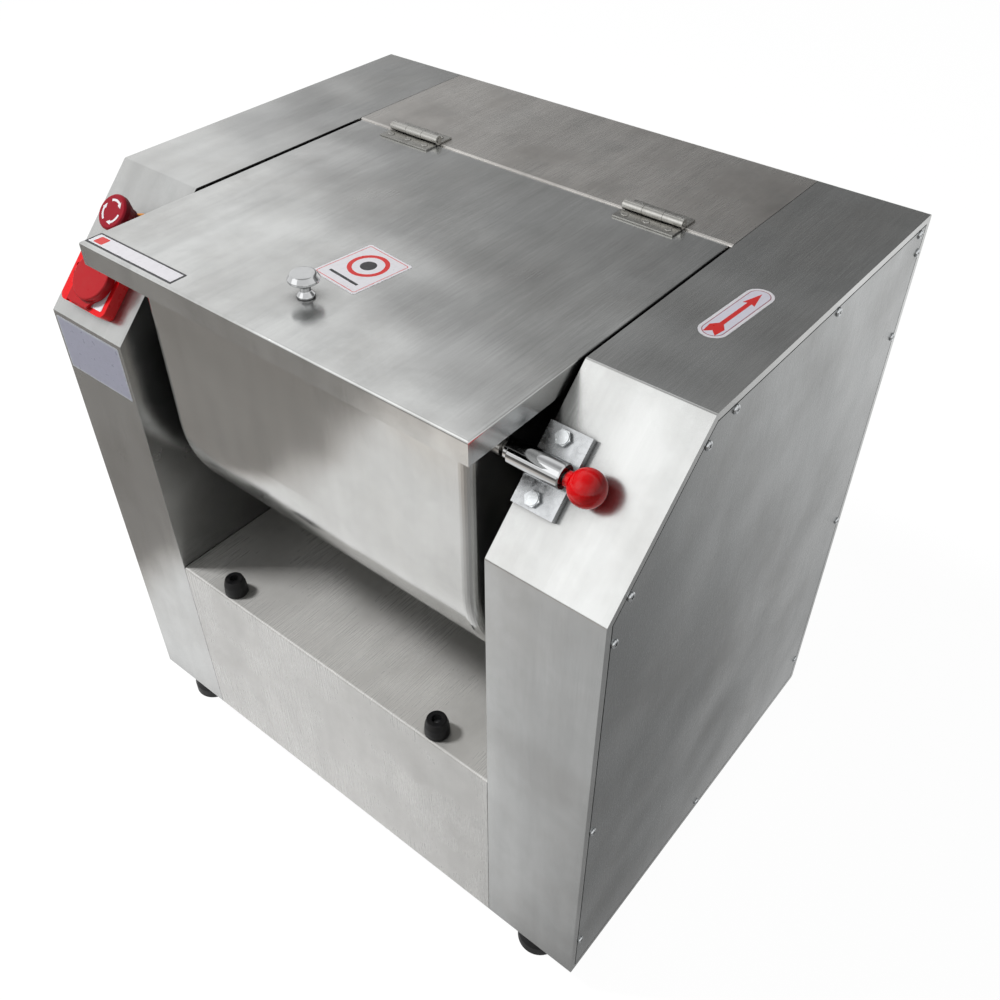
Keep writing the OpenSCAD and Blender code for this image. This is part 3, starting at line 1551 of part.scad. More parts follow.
// Places of the two holes in the raised rim, in shares of the box's side
switch_hole_shares = [[0.41, -0.07], [0.42, 0.06]];

module switch_box() {
    half = switch_w / 2;
    outline = [[-half, -half], [half, -half], [half, half], [-half, half]];
    block = [0.6 * switch_w, 0.6 * switch_w, switch_block_h];
    color("red") place() on_side(-1) on_slope(switch_x, switch_slope_l) difference() {
        union() {
            linear_extrude(switch_h) polygon(rounded(outline, same(outline, switch_corner_r)));
            intersection() {
                linear_extrude(switch_h + switch_rim_h) polygon(rounded(outline, same(outline, switch_corner_r)));
                translate([half - switch_rim_w, -half, 0]) cube([switch_rim_w, switch_w, switch_h + switch_rim_h]);
            }
            translate([0, 0, -sheet_t - cut]) cylinder(h = sheet_t + 2 * cut, d = switch_hole_d - 2 * running_fit);
            translate([-block[0] / 2, -block[1] / 2, -sheet_t - block[2]]) cube(block);
        }
        translate([-dial_offset, 0, switch_h - dial_foot_h - clear])
            cylinder(h = switch_h, d = dial_pin_d + 2 * running_fit);
        for (p = switch_hole_shares) translate([p[0] * switch_w, p[1] * switch_w, switch_h - switch_rim_h])
            cylinder(h = switch_h, d = switch_mark_d);
    }
}

// Knob with a round cap and a flat tail that flares towards the front
module switch_knob() {
    tail = dial_tail_shares * switch_w;
    color("firebrick") place() on_side(-1) on_slope(switch_x, switch_slope_l) {
        translate([-dial_offset, 0, switch_h - dial_foot_h]) cylinder(h = dial_foot_h + dial_tail_h, d = dial_pin_d);
        translate([-dial_offset, 0, switch_h + 1.5 * clear]) rotate_extrude() polygon(rounded(
            [[0, 0], [dial_d / 2, 0], [dial_d / 2, dial_h], [0, dial_h]], [0, 0, 0.25 * dial_h, 0]));
        translate([0, 0, switch_h + 1.5 * clear]) linear_extrude(dial_tail_h)
            polygon(rounded(tail, [0, 0.03 * switch_w, 0.03 * switch_w, 0.1 * switch_w, 0, 0]));
    }
}

base_frame();
left_bearing_plate();
right_bearing_plate();
rear_tie_bar();
left_housing();
right_housing();
left_side_cover();
right_side_cover();
cover_screws();
front_panel();
rear_deck();
rear_panel();
cable_gland();
feet();
foot_studs();
sill_bumpers();
bumper_screws();
lid();
lid_knob();
hinge_fixed_leaves();
hinge_moving_leaves();
hinge_pins();
hinge_deck_screws();
hinge_lid_screws();
tub();
tub_hubs();
tub_lock_boss();
agitator_shaft();
agitator_bars();
bearing_housings();
bearing_housing_bolts();
shaft_bearings();
shaft_seals();
main_gear();
gear_key();
gear_retainer();
countershaft();
pinion();
countershaft_bearings();
outboard_bracket();
large_pulley();
v_belts();
motor_pulley();
motor_shaft();
motor_body();
motor_fan_cowl();
motor_terminal_box();
motor_plate();
motor_bolts();
lock_bracket();
lock_bolts();
lock_barrel();
lock_pin();
lock_spring();
lock_ball();
estop_base();
estop_stem();
estop_head();
switch_box();
switch_knob();
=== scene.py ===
"""Dough mixer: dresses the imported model, adds its thin trim and lights it.

Everything is in metres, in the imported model's frame: X from the control side
to the drive side, Y from front to back, Z up from the floor.
"""

from __future__ import annotations

import json
import logging
import math
from dataclasses import dataclass, field
from enum import Enum
from typing import Any, Mapping, Sequence

import bpy
from mathutils import Matrix, Vector

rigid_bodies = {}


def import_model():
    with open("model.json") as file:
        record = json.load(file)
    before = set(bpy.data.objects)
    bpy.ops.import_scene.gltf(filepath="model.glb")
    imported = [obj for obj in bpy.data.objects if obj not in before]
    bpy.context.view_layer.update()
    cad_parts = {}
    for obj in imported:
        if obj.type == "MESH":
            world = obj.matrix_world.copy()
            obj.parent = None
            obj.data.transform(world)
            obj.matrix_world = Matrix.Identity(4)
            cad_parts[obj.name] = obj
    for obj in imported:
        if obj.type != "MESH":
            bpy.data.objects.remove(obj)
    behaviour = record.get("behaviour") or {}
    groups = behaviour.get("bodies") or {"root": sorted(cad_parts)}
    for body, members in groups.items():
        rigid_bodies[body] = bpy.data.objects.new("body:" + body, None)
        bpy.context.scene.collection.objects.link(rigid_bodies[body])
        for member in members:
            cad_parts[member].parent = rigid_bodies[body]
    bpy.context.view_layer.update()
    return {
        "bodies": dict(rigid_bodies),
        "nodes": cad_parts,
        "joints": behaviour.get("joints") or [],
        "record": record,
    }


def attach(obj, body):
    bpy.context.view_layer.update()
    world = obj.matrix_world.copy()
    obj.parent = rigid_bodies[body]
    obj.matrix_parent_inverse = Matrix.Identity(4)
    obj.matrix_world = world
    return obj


log = logging.getLogger("dough_mixer")

Point = tuple[float, float]
Triple = tuple[float, float, float]
Colour = tuple[float, float, float, float]

MM = 0.001
WHITE: Colour = (1.0, 1.0, 1.0, 1.0)
# Colour of the painted shade in corners, seams and recesses
SHADE_COLOUR = "#161514"
# Most values of a noise texture lie between these
NOISE = (0.3, 0.7)


def linear(hex_colour: str) -> Colour:
    """Turns an sRGB hex colour into the linear values that a shader takes.

    Args:
        hex_colour: Six hex digits after a hash.

    Returns:
        Red, green, blue and an alpha of one.
    """
    values = [int(hex_colour[i : i + 2], 16) / 255 for i in (1, 3, 5)]
    r, g, b = (v / 12.92 if v <= 0.04045 else ((v + 0.055) / 1.055) ** 2.4 for v in values)
    return r, g, b, 1.0


def per_metre(size_mm: float) -> float:
    """Texture scale for a pattern of real size.

    Args:
        size_mm: Width of one pattern cell.

    Returns:
        The scale.
    """
    return 1000.0 / size_mm


def span(low: float, high: float, start: float, end: float) -> dict[str, float]:
    """Settings of a Map Range node that stretches low..high onto start..end.

    Args:
        low: Value that becomes start.
        high: Value that becomes end.
        start: Result at low.
        end: Result at high.

    Returns:
        The settings by input name.
    """
    return {"From Min": low, "From Max": high, "To Min": start, "To Max": end}


def add(
    tree: bpy.types.NodeTree,
    kind: str,
    inputs: Mapping[str | int, Any] | None = None,
    **settings: Any,
) -> bpy.types.Node:
    """Adds one shader node with its settings and links.

    Args:
        tree: Node tree that takes the node.
        kind: Blender's node type without ShaderNode, such as TexNoise.
        inputs: Input name or number to a value, a socket, or a node that gives its first output in use.
        settings: Attributes of the node itself.

    Returns:
        The new node.
    """
    made = tree.nodes.new("ShaderNode" + kind)
    for name, value in settings.items():
        setattr(made, name, value)
    for name, value in (inputs or {}).items():
        if isinstance(value, bpy.types.Node):
            value = next(output for output in value.outputs if output.enabled)
        if isinstance(value, bpy.types.NodeSocket):
            tree.links.new(value, made.inputs[name])
        else:
            made.inputs[name].default_value = value
    return made


def start_material(
    name: str,
) -> tuple[bpy.types.Material, bpy.types.NodeTree, bpy.types.NodeSocket]:
    """Makes an empty material.

    Args:
        name: The finish's name.

    Returns:
        The material, its tree and the object's own coordinates.
    """
    material = bpy.data.materials.new(name)
    material.use_nodes = True
    tree = material.node_tree
    tree.nodes.clear()
    return material, tree, add(tree, "TexCoord").outputs["Object"]


def paint_shade(
    tree: bpy.types.NodeTree, colour: bpy.types.Node, reach_mm: float, most: float = 0.92
) -> bpy.types.Node:
    """Paints shade into a colour: darkens it in tight corners and seams, where shadow falls.

    Args:
        tree: The material's tree.
        colour: The clean colour's node.
        reach_mm: How far from a corner the painted shade reaches.
        most: Share of painted shade where the surface is shut in.

    Returns:
        The colour's node with the painted shade.
    """
    near = add(tree, "AmbientOcclusion", {"Distance": reach_mm * MM}, samples=4).outputs["AO"]
    share = add(tree, "MapRange", {"Value": near, **span(0.25, 0.80, most, 0.0)})
    return add(tree, "Mix", {0: share, 6: colour, 7: linear(SHADE_COLOUR)}, data_type="RGBA")


class Grain(Enum):
    """Way that a brushed sheet's lines run, as the axis that they cross."""

    CROSS_X = 0
    CROSS_Y = 1


@dataclass(frozen=True)
class BrushedStainless:
    """Austenitic stainless sheet, rolled and then brushed with a fine belt.

    The belt leaves long parallel scratches that stretch highlights across them,
    and handling and heat leave cloudy brownish and greenish patches.
    """

    name: str
    colour: str
    stain: str = "#6f6a62"
    cool: str = "#8f9493"
    grain: Grain = Grain.CROSS_X
    roughness: float = 0.21
    cloud: float = 0.22
    streak: float = 0.05
    line_mm: float = 0.8
    line_length_mm: float = 42.0
    band_mm: float = 26.0
    band_length_mm: float = 330.0
    band_swing: float = 1.6
    cloud_mm: float = 130.0
    smear_mm: float = 48.0
    smear_share: float = 0.5
    scratch: float = 0.02
    wave_mm: float = 170.0
    wave_height_mm: float = 8.0
    metallic: float = 0.92
    # Reach of the painted shade in seams and corners
    seam_shade_mm: float = 4.0
    # Share and reach of the painted shade in deep recesses
    recess: float = 0.0
    recess_shade_mm: float = 160.0

    def drawn(self, width_mm: float, length_mm: float) -> list[float]:
        """Texture scales of a pattern that is drawn out along the brushing.

        Args:
            width_mm: Its size across the brush lines.
            length_mm: Its size along them.

        Returns:
            The scale on each axis.
        """
        scale = [per_metre(length_mm)] * 3
        scale[self.grain.value] = per_metre(width_mm)
        return scale

    def build(self) -> bpy.types.Material:
        """Builds the finish.

        Returns:
            The finish as a material.
        """
        material, tree, place = start_material(self.name)
        # Brush lines are about 0.1 mm apart, drawn as coarse as they need to show
        scale = self.drawn(self.line_mm, self.line_length_mm)
        along = add(tree, "Mapping", {"Vector": place, "Scale": scale})
        lines = add(tree, "TexNoise", {"Vector": along, "Scale": 1.0, "Detail": 4.0, "Roughness": 0.65})
        scale = self.drawn(self.band_mm, self.band_length_mm)
        along = add(tree, "Mapping", {"Vector": place, "Scale": scale})
        bands = add(tree, "TexNoise", {"Vector": along, "Scale": 1.0, "Detail": 3.0})
        size = per_metre(self.cloud_mm)
        clouds = add(tree, "TexNoise", {"Vector": place, "Scale": size, "Detail": 6.0, "Roughness": 0.62})
        soft = {"Detail": 5.0, "Roughness": 0.6, "Distortion": 0.6}
        smears = add(tree, "TexNoise", {"Vector": place, "Scale": per_metre(self.smear_mm), **soft})
        # Heat and handling stain the sheet, and the brush lines shade it
        share = add(tree, "MapRange", {"Value": clouds, **span(0.42, 0.72, 0.0, self.cloud)})
        tone = add(tree, "Mix", {0: share, 6: linear(self.colour), 7: linear(self.stain)}, data_type="RGBA")
        smeared = span(0.50, 0.74, 0.0, self.smear_share * self.cloud)
        share = add(tree, "MapRange", {"Value": smears, **smeared})
        tone = add(tree, "Mix", {0: share, 6: tone, 7: linear(self.cool)}, data_type="RGBA")
        faint = span(*NOISE, 1.0 - self.streak, 1.0 + self.streak)
        fine = add(tree, "MapRange", {"Value": lines, **faint})
        swing = self.band_swing * self.streak
        wide = add(tree, "MapRange", {"Value": bands, **span(*NOISE, 1.0 - swing, 1.0 + swing)})
        shade = add(tree, "Math", {0: fine, 1: wide}, operation="MULTIPLY")
        brushed = add(tree, "Mix", {0: 1.0, 6: tone, 7: shade}, data_type="RGBA", blend_type="MULTIPLY")
        # Painted shade darkens the seams and corners
        colour = paint_shade(tree, brushed, self.seam_shade_mm)
        if self.recess > 0.0:
            # Painted shade: the deep parts between the housings are painted much darker, where the trough
            # and the lid shut out the light
            colour = paint_shade(tree, colour, self.recess_shade_mm, self.recess)
        dulled = span(*NOISE, self.roughness - 0.03, self.roughness + 0.05)
        base = add(tree, "MapRange", {"Value": clouds, **dulled})
        scratched = add(tree, "MapRange", {"Value": lines, **span(0.42, 0.60, -0.03, self.scratch)})
        # The folded sheet is never quite flat, which bends what it mirrors
        size = per_metre(self.wave_mm)
        waves = add(tree, "TexNoise", {"Vector": place, "Scale": size, "Detail": 1.0})
        wavy = add(tree, "Bump", {"Strength": 1.0, "Distance": self.wave_height_mm * MM, "Height": waves})
        grooves = {"Strength": 0.015, "Distance": 0.08 * MM, "Height": lines}
        inputs = {
            "Base Color": colour,
            # The dulled skin scatters part of the light, which shows as lit and shaded parts
            "Metallic": self.metallic,
            "Roughness": add(tree, "Math", {0: base, 1: scratched}, operation="ADD"),
            "Anisotropic": 0.35,
            "Anisotropic Rotation": 0.25,
            "Tangent": add(tree, "Tangent", direction_type="RADIAL", axis="XYZ"[self.grain.value]),
            "Normal": add(tree, "Bump", {**grooves, "Normal": wavy}),
        }
        add(tree, "OutputMaterial", {"Surface": add(tree, "BsdfPrincipled", inputs)})
        return material


@dataclass(frozen=True)
class TurnedSteel:
    """Bare or plated steel as it leaves the lathe, the press or the plating bath.

    Fine marks break the reflection a little, and plating gives a cloudy tone.
    """

    name: str
    colour: str
    roughness: float = 0.28
    mark_mm: float = 3.0
    dirt: str = "#4a4743"
    dirt_amount: float = 0.25
    dirt_mm: float = 14.0
    bump: float = 0.12
    # Reach of the painted shade in seams and corners
    seam_shade_mm: float = 2.5

    def build(self) -> bpy.types.Material:
        """Builds the finish.

        Returns:
            The finish as a material.
        """
        material, tree, place = start_material(self.name)
        # Tool marks are about 0.2 mm apart, drawn coarser so that they show
        marks = add(tree, "TexNoise", {"Vector": place, "Scale": per_metre(self.mark_mm), "Detail": 5.0})
        clouds = add(tree, "TexNoise", {"Vector": place, "Scale": per_metre(self.dirt_mm), "Detail": 4.0})
        share = add(tree, "MapRange", {"Value": clouds, **span(0.45, 0.75, 0.0, self.dirt_amount)})
        tone = add(tree, "Mix", {0: share, 6: linear(self.colour), 7: linear(self.dirt)}, data_type="RGBA")
        broken = span(*NOISE, self.roughness - 0.06, self.roughness + 0.08)
        inputs = {
            # Painted shade darkens the seams and corners
            "Base Color": paint_shade(tree, tone, self.seam_shade_mm),
            "Metallic": 1.0,
            "Roughness": add(tree, "MapRange", {"Value": marks, **broken}),
            "Normal": add(tree, "Bump", {"Strength": self.bump, "Distance": 0.1 * MM, "Height": marks}),
        }
        add(tree, "OutputMaterial", {"Surface": add(tree, "BsdfPrincipled", inputs)})
        return material


@dataclass(frozen=True)
class MouldedPolymer:
    """Moulded plastic or rubber, with the mould's fine texture and a little dust."""

    name: str
    colour: str
    roughness: float = 0.3
    grain_mm: float = 0.8
    bump: float = 0.1
    dust: str = "#8c8780"
    dust_amount: float = 0.05
    dust_mm: float = 9.0
    # Lower than the 1.5 of the bulk, because the worn skin shines less
    ior: float = 1.38

    def build(self) -> bpy.types.Material:
        """Builds the finish.

        Returns:
            The finish as a material.
        """
        material, tree, place = start_material(self.name)
        # Mould texture is about 0.2 mm wide, drawn coarser so that it shows
        grit = add(tree, "TexNoise", {"Vector": place, "Scale": per_metre(self.grain_mm), "Detail": 3.0})
        clouds = add(tree, "TexNoise", {"Vector": place, "Scale": per_metre(self.dust_mm), "Detail": 5.0})
        share = add(tree, "MapRange", {"Value": clouds, **span(0.5, 0.75, 0.0, self.dust_amount)})
        broken = span(*NOISE, self.roughness - 0.05, self.roughness + 0.08)
        dusty = {0: share, 6: linear(self.colour), 7: linear(self.dust)}
        inputs = {
            "Base Color": add(tree, "Mix", dusty, data_type="RGBA"),
            "Roughness": add(tree, "MapRange", {"Value": clouds, **broken}),
            "IOR": self.ior,
            "Normal": add(tree, "Bump", {"Strength": self.bump, "Distance": 0.15 * MM, "Height": grit}),
        }
        add(tree, "OutputMaterial", {"Surface": add(tree, "BsdfPrincipled", inputs)})
        return material


@dataclass(frozen=True)
class PaintedIron:
    """Cast or welded iron under sprayed paint, with the casting's grain below it."""

    name: str
    colour: str
    roughness: float = 0.45
    grain_mm: float = 2.5
    wear: str = "#57534d"
    wear_amount: float = 0.2
    wear_mm: float = 40.0
    ior: float = 1.5

    def build(self) -> bpy.types.Material:
        """Builds the finish.

        Returns:
            The finish as a material.
        """
        material, tree, place = start_material(self.name)
        # Sand grain of the casting is under 1 mm, drawn coarser so that it shows
        skin = add(tree, "TexNoise", {"Vector": place, "Scale": per_metre(self.grain_mm), "Detail": 4.0})
        clouds = add(tree, "TexNoise", {"Vector": place, "Scale": per_metre(self.wear_mm), "Detail": 5.0})
        share = add(tree, "MapRange", {"Value": clouds, **span(0.5, 0.7, 0.0, self.wear_amount)})
        broken = span(*NOISE, self.roughness - 0.08, self.roughness + 0.1)
        worn = {0: share, 6: linear(self.colour), 7: linear(self.wear)}
        inputs = {
            "Base Color": add(tree, "Mix", worn, data_type="RGBA"),
            "Roughness": add(tree, "MapRange", {"Value": clouds, **broken}),
            "IOR": self.ior,
            "Normal": add(tree, "Bump", {"Strength": 0.25, "Distance": 0.3 * MM, "Height": skin}),
        }
        add(tree, "OutputMaterial", {"Surface": add(tree, "BsdfPrincipled", inputs)})
        return material


@dataclass(frozen=True)
class PrintedFilm:
    """Printed polyester film with a pressure adhesive, flat and a little shiny."""

    name: str
    colour: str
    roughness: float = 0.32
    scuff: str = "#8f8d8a"
    scuff_amount: float = 0.12
    scuff_mm: float = 6.0
    ior: float = 1.5

    def build(self) -> bpy.types.Material:
        """Builds the finish.

        Returns:
            The finish as a material.
        """
        material, tree, place = start_material(self.name)
        scuffs = add(tree, "TexNoise", {"Vector": place, "Scale": per_metre(self.scuff_mm), "Detail": 6.0})
        share = add(tree, "MapRange", {"Value": scuffs, **span(0.5, 0.8, 0.0, self.scuff_amount)})
        broken = span(*NOISE, self.roughness - 0.06, self.roughness + 0.1)
        scuffed = {0: share, 6: linear(self.colour), 7: linear(self.scuff)}
        inputs = {
            "Base Color": add(tree, "Mix", scuffed, data_type="RGBA"),
            "Roughness": add(tree, "MapRange", {"Value": scuffs, **broken}),
            "IOR": self.ior,
            "Normal": add(tree, "Bump", {"Strength": 0.08, "Distance": 0.1 * MM, "Height": scuffs}),
        }
        add(tree, "OutputMaterial", {"Surface": add(tree, "BsdfPrincipled", inputs)})
        return material


Finish = BrushedStainless | TurnedSteel | MouldedPolymer | PaintedIron | PrintedFilm

# Housings: pale sheet with faint lines, with painted shade where the trough and the lid shut it in
WRAPPER = BrushedStainless("stainless_wrapper", "#c3c4c3", stain="#7c746a", streak=0.035, recess=0.7)
# Side covers: a flatter grey than the housings round them, and darker as painted shade for the side away
# from the key lamp
COVER = BrushedStainless(
    "stainless_side_cover", "#a9abab", grain=Grain.CROSS_Y, roughness=0.27, streak=0.012
)
# Panels and sill: matt and even, shaded more by the light than by mirror images
PANEL = BrushedStainless(
    "stainless_panel", "#cfcecb", metallic=0.36, roughness=0.29, streak=0.03, wave_height_mm=5.0
)
# Deck: the most stained sheet, with brown clouds over a soft sheen
DECK = BrushedStainless(
    "stainless_deck", "#d0cdc9", stain="#5f564e", cloud=0.45, roughness=0.29, wave_height_mm=7.0
)
# Lid: broad soft highlights under faint clouds, with painted shade where other parts shut it in
LID = BrushedStainless("stainless_lid", "#cccdcc", cloud=0.3, wave_height_mm=7.0, recess=0.85)
# Trough: the shiniest sheet, wiped bright by dough
TROUGH = BrushedStainless(
    "stainless_trough", "#cbcbc9", stain="#9b978f", cloud=0.2, streak=0.02, roughness=0.16
)
# Shafts, hubs and bars: even mid grey with a soft sheen
MACHINED = TurnedSteel("turned_steel", "#a9a8a5")
# Bearing rings: brighter and smoother
GROUND = TurnedSteel("ground_bearing_steel", "#b9babb", roughness=0.2)
# Screws: small bright bluish glints
ZINC = TurnedSteel(
    "bright_zinc_plate", "#cfd2d4", roughness=0.2, mark_mm=1.2, dirt="#8d8f8c", bump=0.03, seam_shade_mm=5.0
)
# Lock bracket: mottled bluish grey plating
DULL_ZINC = TurnedSteel(
    "dull_zinc_plate", "#b6b8ba", roughness=0.24, mark_mm=5.0, dirt="#5d5f5c", bump=0.02, seam_shade_mm=5.0
)
# Hinges: warm grey, rolled smooth
HINGE_STEEL = TurnedSteel(
    "rolled_hinge_steel", "#b4b3af", roughness=0.26, mark_mm=4.0, dirt="#77736c", bump=0.02
)
# Knob and lock barrel: a sharp mirror of what is round them
CHROME = TurnedSteel(
    "polished_chrome", "#c2c3c4", roughness=0.06, bump=0.02, dirt="#9a9a98", dirt_amount=0.1
)
# Gears: dark and patchy with grease
GEAR = TurnedSteel("hobbed_gear_steel", "#77797a", roughness=0.38, dirt="#2b2a28", dirt_amount=0.5)
# Lock spring: plain dark wire
SPRING = TurnedSteel("drawn_spring_wire", "#86888b", roughness=0.25)
# Screw recesses: small dark crosses, painted shade for the depth of each recess
RECESS = TurnedSteel("shadowed_screw_recess", "#2a2a2b", roughness=0.5)
# Feet and bumpers: deep black with a dull sheen
RUBBER = MouldedPolymer("moulded_black_rubber", "#08080a", roughness=0.5, bump=0.25, dust_amount=0.03)
# Shaft seals: dull dark brown
SEAL = MouldedPolymer("nitrile_seal_rubber", "#3a2018", roughness=0.5)
# Belts: black cloth without shine
BELT = MouldedPolymer("fabric_wrapped_belt", "#1b1b1c", roughness=0.75, grain_mm=1.2, bump=0.5)
# Cable gland and button stem: black with a faint sheen
BLACK_NYLON = MouldedPolymer("moulded_black_nylon", "#1c1c1d", roughness=0.4)
# Switch: a bright clear red box and a deeper red dial
SWITCH_RED = MouldedPolymer("moulded_red_polycarbonate", "#e60612", roughness=0.28)
DIAL_RED = MouldedPolymer("moulded_dark_red_polycarbonate", "#b00a16", roughness=0.32)
# Stop button: a crimson head that shines little, over a warm orange collar
BUTTON_RED = MouldedPolymer("moulded_crimson_abs", "#92061f", roughness=0.45)
COLLAR_ORANGE = MouldedPolymer("moulded_orange_abs", "#f59a1f", roughness=0.35)
# Pull ball: smooth and glossy, with a small sharp highlight
BALL_RED = MouldedPolymer("polished_red_phenolic", "#dc000a", roughness=0.1, bump=0.02)
# Films and their inks: flat colours with a faint gloss
FILM_WHITE = PrintedFilm("white_polyester_film", "#e6e4e8")
FILM_PALE = PrintedFilm("pale_lavender_polyester_film", "#dddbe6")
FILM_GREY = PrintedFilm("grey_lavender_polyester_film", "#a9aabb")
FILM_RED = PrintedFilm("red_film_ink", "#d62a28")
FILM_LINE = PrintedFilm("maroon_film_ink", "#9a4a5e")
FILM_BLACK = PrintedFilm("black_film_ink", "#26262a")
FILM_SILVER = PrintedFilm("silver_polyester_film", "#b9bcc4")
# Frame and castings: matt dark and grey paint over a grainy skin; motor: glossier blue
FRAME_PAINT = PaintedIron("dark_frame_paint", "#33353a")
CAST_PAINT = PaintedIron("grey_casting_paint", "#5d6266")
MOTOR_PAINT = PaintedIron("blue_motor_enamel", "#2c4a6e", roughness=0.38)


class Paintbox:
    """Builds each finish once and hands it out again."""

    def __init__(self) -> None:
        """Starts with no material made."""
        self.made: dict[str, bpy.types.Material] = {}

    def get(self, finish: Finish) -> bpy.types.Material:
        """Finds or builds the material of a finish.

        Args:
            finish: The finish.

        Returns:
            Its material.
        """
        if finish.name not in self.made:
            self.made[finish.name] = finish.build()
            log.info("finish %s", finish.name)
        return self.made[finish.name]


@dataclass
class Context:
    """What every sub-assembly needs to dress and add its pieces."""

    frame: dict[str, Any]
    paints: Paintbox

    def dress(self, name: str, finish: Finish) -> None:
        """Gives a CAD node a finish.

        Args:
            name: The node's name.
            finish: Its finish.
        """
        piece = self.frame["nodes"][name]
        if not piece.material_slots:
            piece.data.materials.append(None)
        for slot in piece.material_slots:
            slot.material = self.paints.get(finish)
        log.info("dressed %s in %s", name, finish.name)

    def finish_piece(self, piece: bpy.types.Object, finish: Finish, body: str) -> None:
        """Gives a new piece its finish and its body.

        Args:
            piece: The piece.
            finish: Its finish.
            body: Name of the body that it rides on.
        """
        piece.data.materials.clear()
        piece.data.materials.append(self.paints.get(finish))
        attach(piece, body)
        log.info("built %s on %s", piece.name, body)


def circle(radius: float, centre: Point, steps: int = 48) -> list[Point]:
    """Outline of a circle.

    Args:
        radius: Its radius.
        centre: Its centre.
        steps: Number of points.

    Returns:
        Points, anticlockwise.
    """
    x, y = centre
    turn = 2 * math.pi / steps
    return [(x + radius * math.cos(i * turn), y + radius * math.sin(i * turn)) for i in range(steps)]


def rounded_box(size: Point, radius: float, border: float = 0.0, steps: int = 6) -> list[Point]:
    """Outline of a rectangle with round corners, about its middle.

    Args:
        size: Size along each axis.
        radius: Corner radius.
        border: How far the outline lies inside that size all round.
        steps: Straight steps in a corner.

    Returns:
        Points, anticlockwise.
    """
    half_x, half_y = ((length - 2 * border) / 2 - radius for length in size)
    outline = []
    for k, (sx, sy) in enumerate(((1, 1), (-1, 1), (-1, -1), (1, -1))):
        for i in range(steps + 1):
            a = math.pi / 2 * (k + i / steps)
            outline.append((sx * half_x + radius * math.cos(a), sy * half_y + radius * math.sin(a)))
    return outline


def arc_arrow(
    radius: float, width: float, start: float, sweep: float, head: float, steps: int = 12
) -> list[Point]:
    """Outline of a curved arrow that runs clockwise.

    Args:
        radius: Radius of its middle line.
        width: Width of its shaft.
        start: Angle where the shaft starts, in radians.
        sweep: Angle that the shaft covers.
        head: Width of the arrow head.
        steps: Straight steps along the shaft.

    Returns:
        Points of the outline.
    """
    angles = [start - sweep * i / steps for i in range(steps + 1)]
    end = angles[-1]
    rim = [(radius + width / 2, a) for a in angles]
    # The tip reaches a little further than the head is wide
    rim += [(radius + head / 2, end), (radius, end - 1.1 * head / radius), (radius - head / 2, end)]
    rim += [(radius - width / 2, a) for a in reversed(angles)]
    return [(r * math.cos(a), r * math.sin(a)) for r, a in rim]


def plane(origin: Sequence[float], across: Sequence[float], up: Sequence[float]) -> Matrix:
    """Frame of a flat face.

    Args:
        origin: Point on the face, in millimetres.
        across: The outline's first axis.
        up: The outline's second axis.

    Returns:
        Matrix from outline millimetres to metres, with Z out of the face.
    """
    u, v = Vector(across).normalized(), Vector(up).normalized()
    axes = Matrix((u, v, u.cross(v))).transposed().to_4x4()
    return Matrix.Translation(Vector(origin) * MM) @ axes @ Matrix.Scale(MM, 4)


def flat_plate(
    name: str, outlines: Sequence[Sequence[Point]], at: Matrix, low: float, high: float
) -> bpy.types.Object:
    """Extrudes flat outlines off a face; an outline inside another is its hole.

    Args:
        name: The piece's name.
        outlines: Closed outlines in millimetres.
        at: The face's frame.
        low: Height of the underside above the face, in millimetres.
        high: Height of the top.

    Returns:
        The piece.
    """
    curve = bpy.data.curves.new(name + "_outline", "CURVE")
    curve.dimensions = "2D"
    curve.fill_mode = "BOTH"
    curve.extrude = (high - low) / 2
    for outline in outlines:
        spline = curve.splines.new("POLY")
        spline.points.add(len(outline) - 1)
        for point, (x, y) in zip(spline.points, outline):
            point.co = (x, y, 0, 1)
        spline.use_cyclic_u = True
    holder = bpy.data.objects.new(name + "_outline", curve)
    mesh = bpy.data.meshes.new_from_object(holder)
    mesh.transform(at @ Matrix.Translation((0, 0, (low + high) / 2)))
    mesh.name = name
    bpy.data.objects.remove(holder)
    bpy.data.curves.remove(curve)
    piece = bpy.data.objects.new(name, mesh)
    bpy.context.collection.objects.link(piece)
    return piece


@dataclass
class Layer:
    """One print layer of a film: its outlines, its finish and its heights above the face in mm."""

    part: str
    outlines: list[list[Point]]
    finish: Finish
    low: float
    high: float


@dataclass
class Film:
    """A sticker made of thin printed layers."""

    name: str
    body: str
    at: Matrix
    layers: list[Layer]

    def build(self, context: Context) -> None:
        """Builds each layer and lets it ride on its body.

        Args:
            context: The frame and the paints.
        """
        for layer in self.layers:
            piece = flat_plate(f"{self.name}_{layer.part}", layer.outlines, self.at, layer.low, layer.high)
            context.finish_piece(piece, layer.finish, self.body)


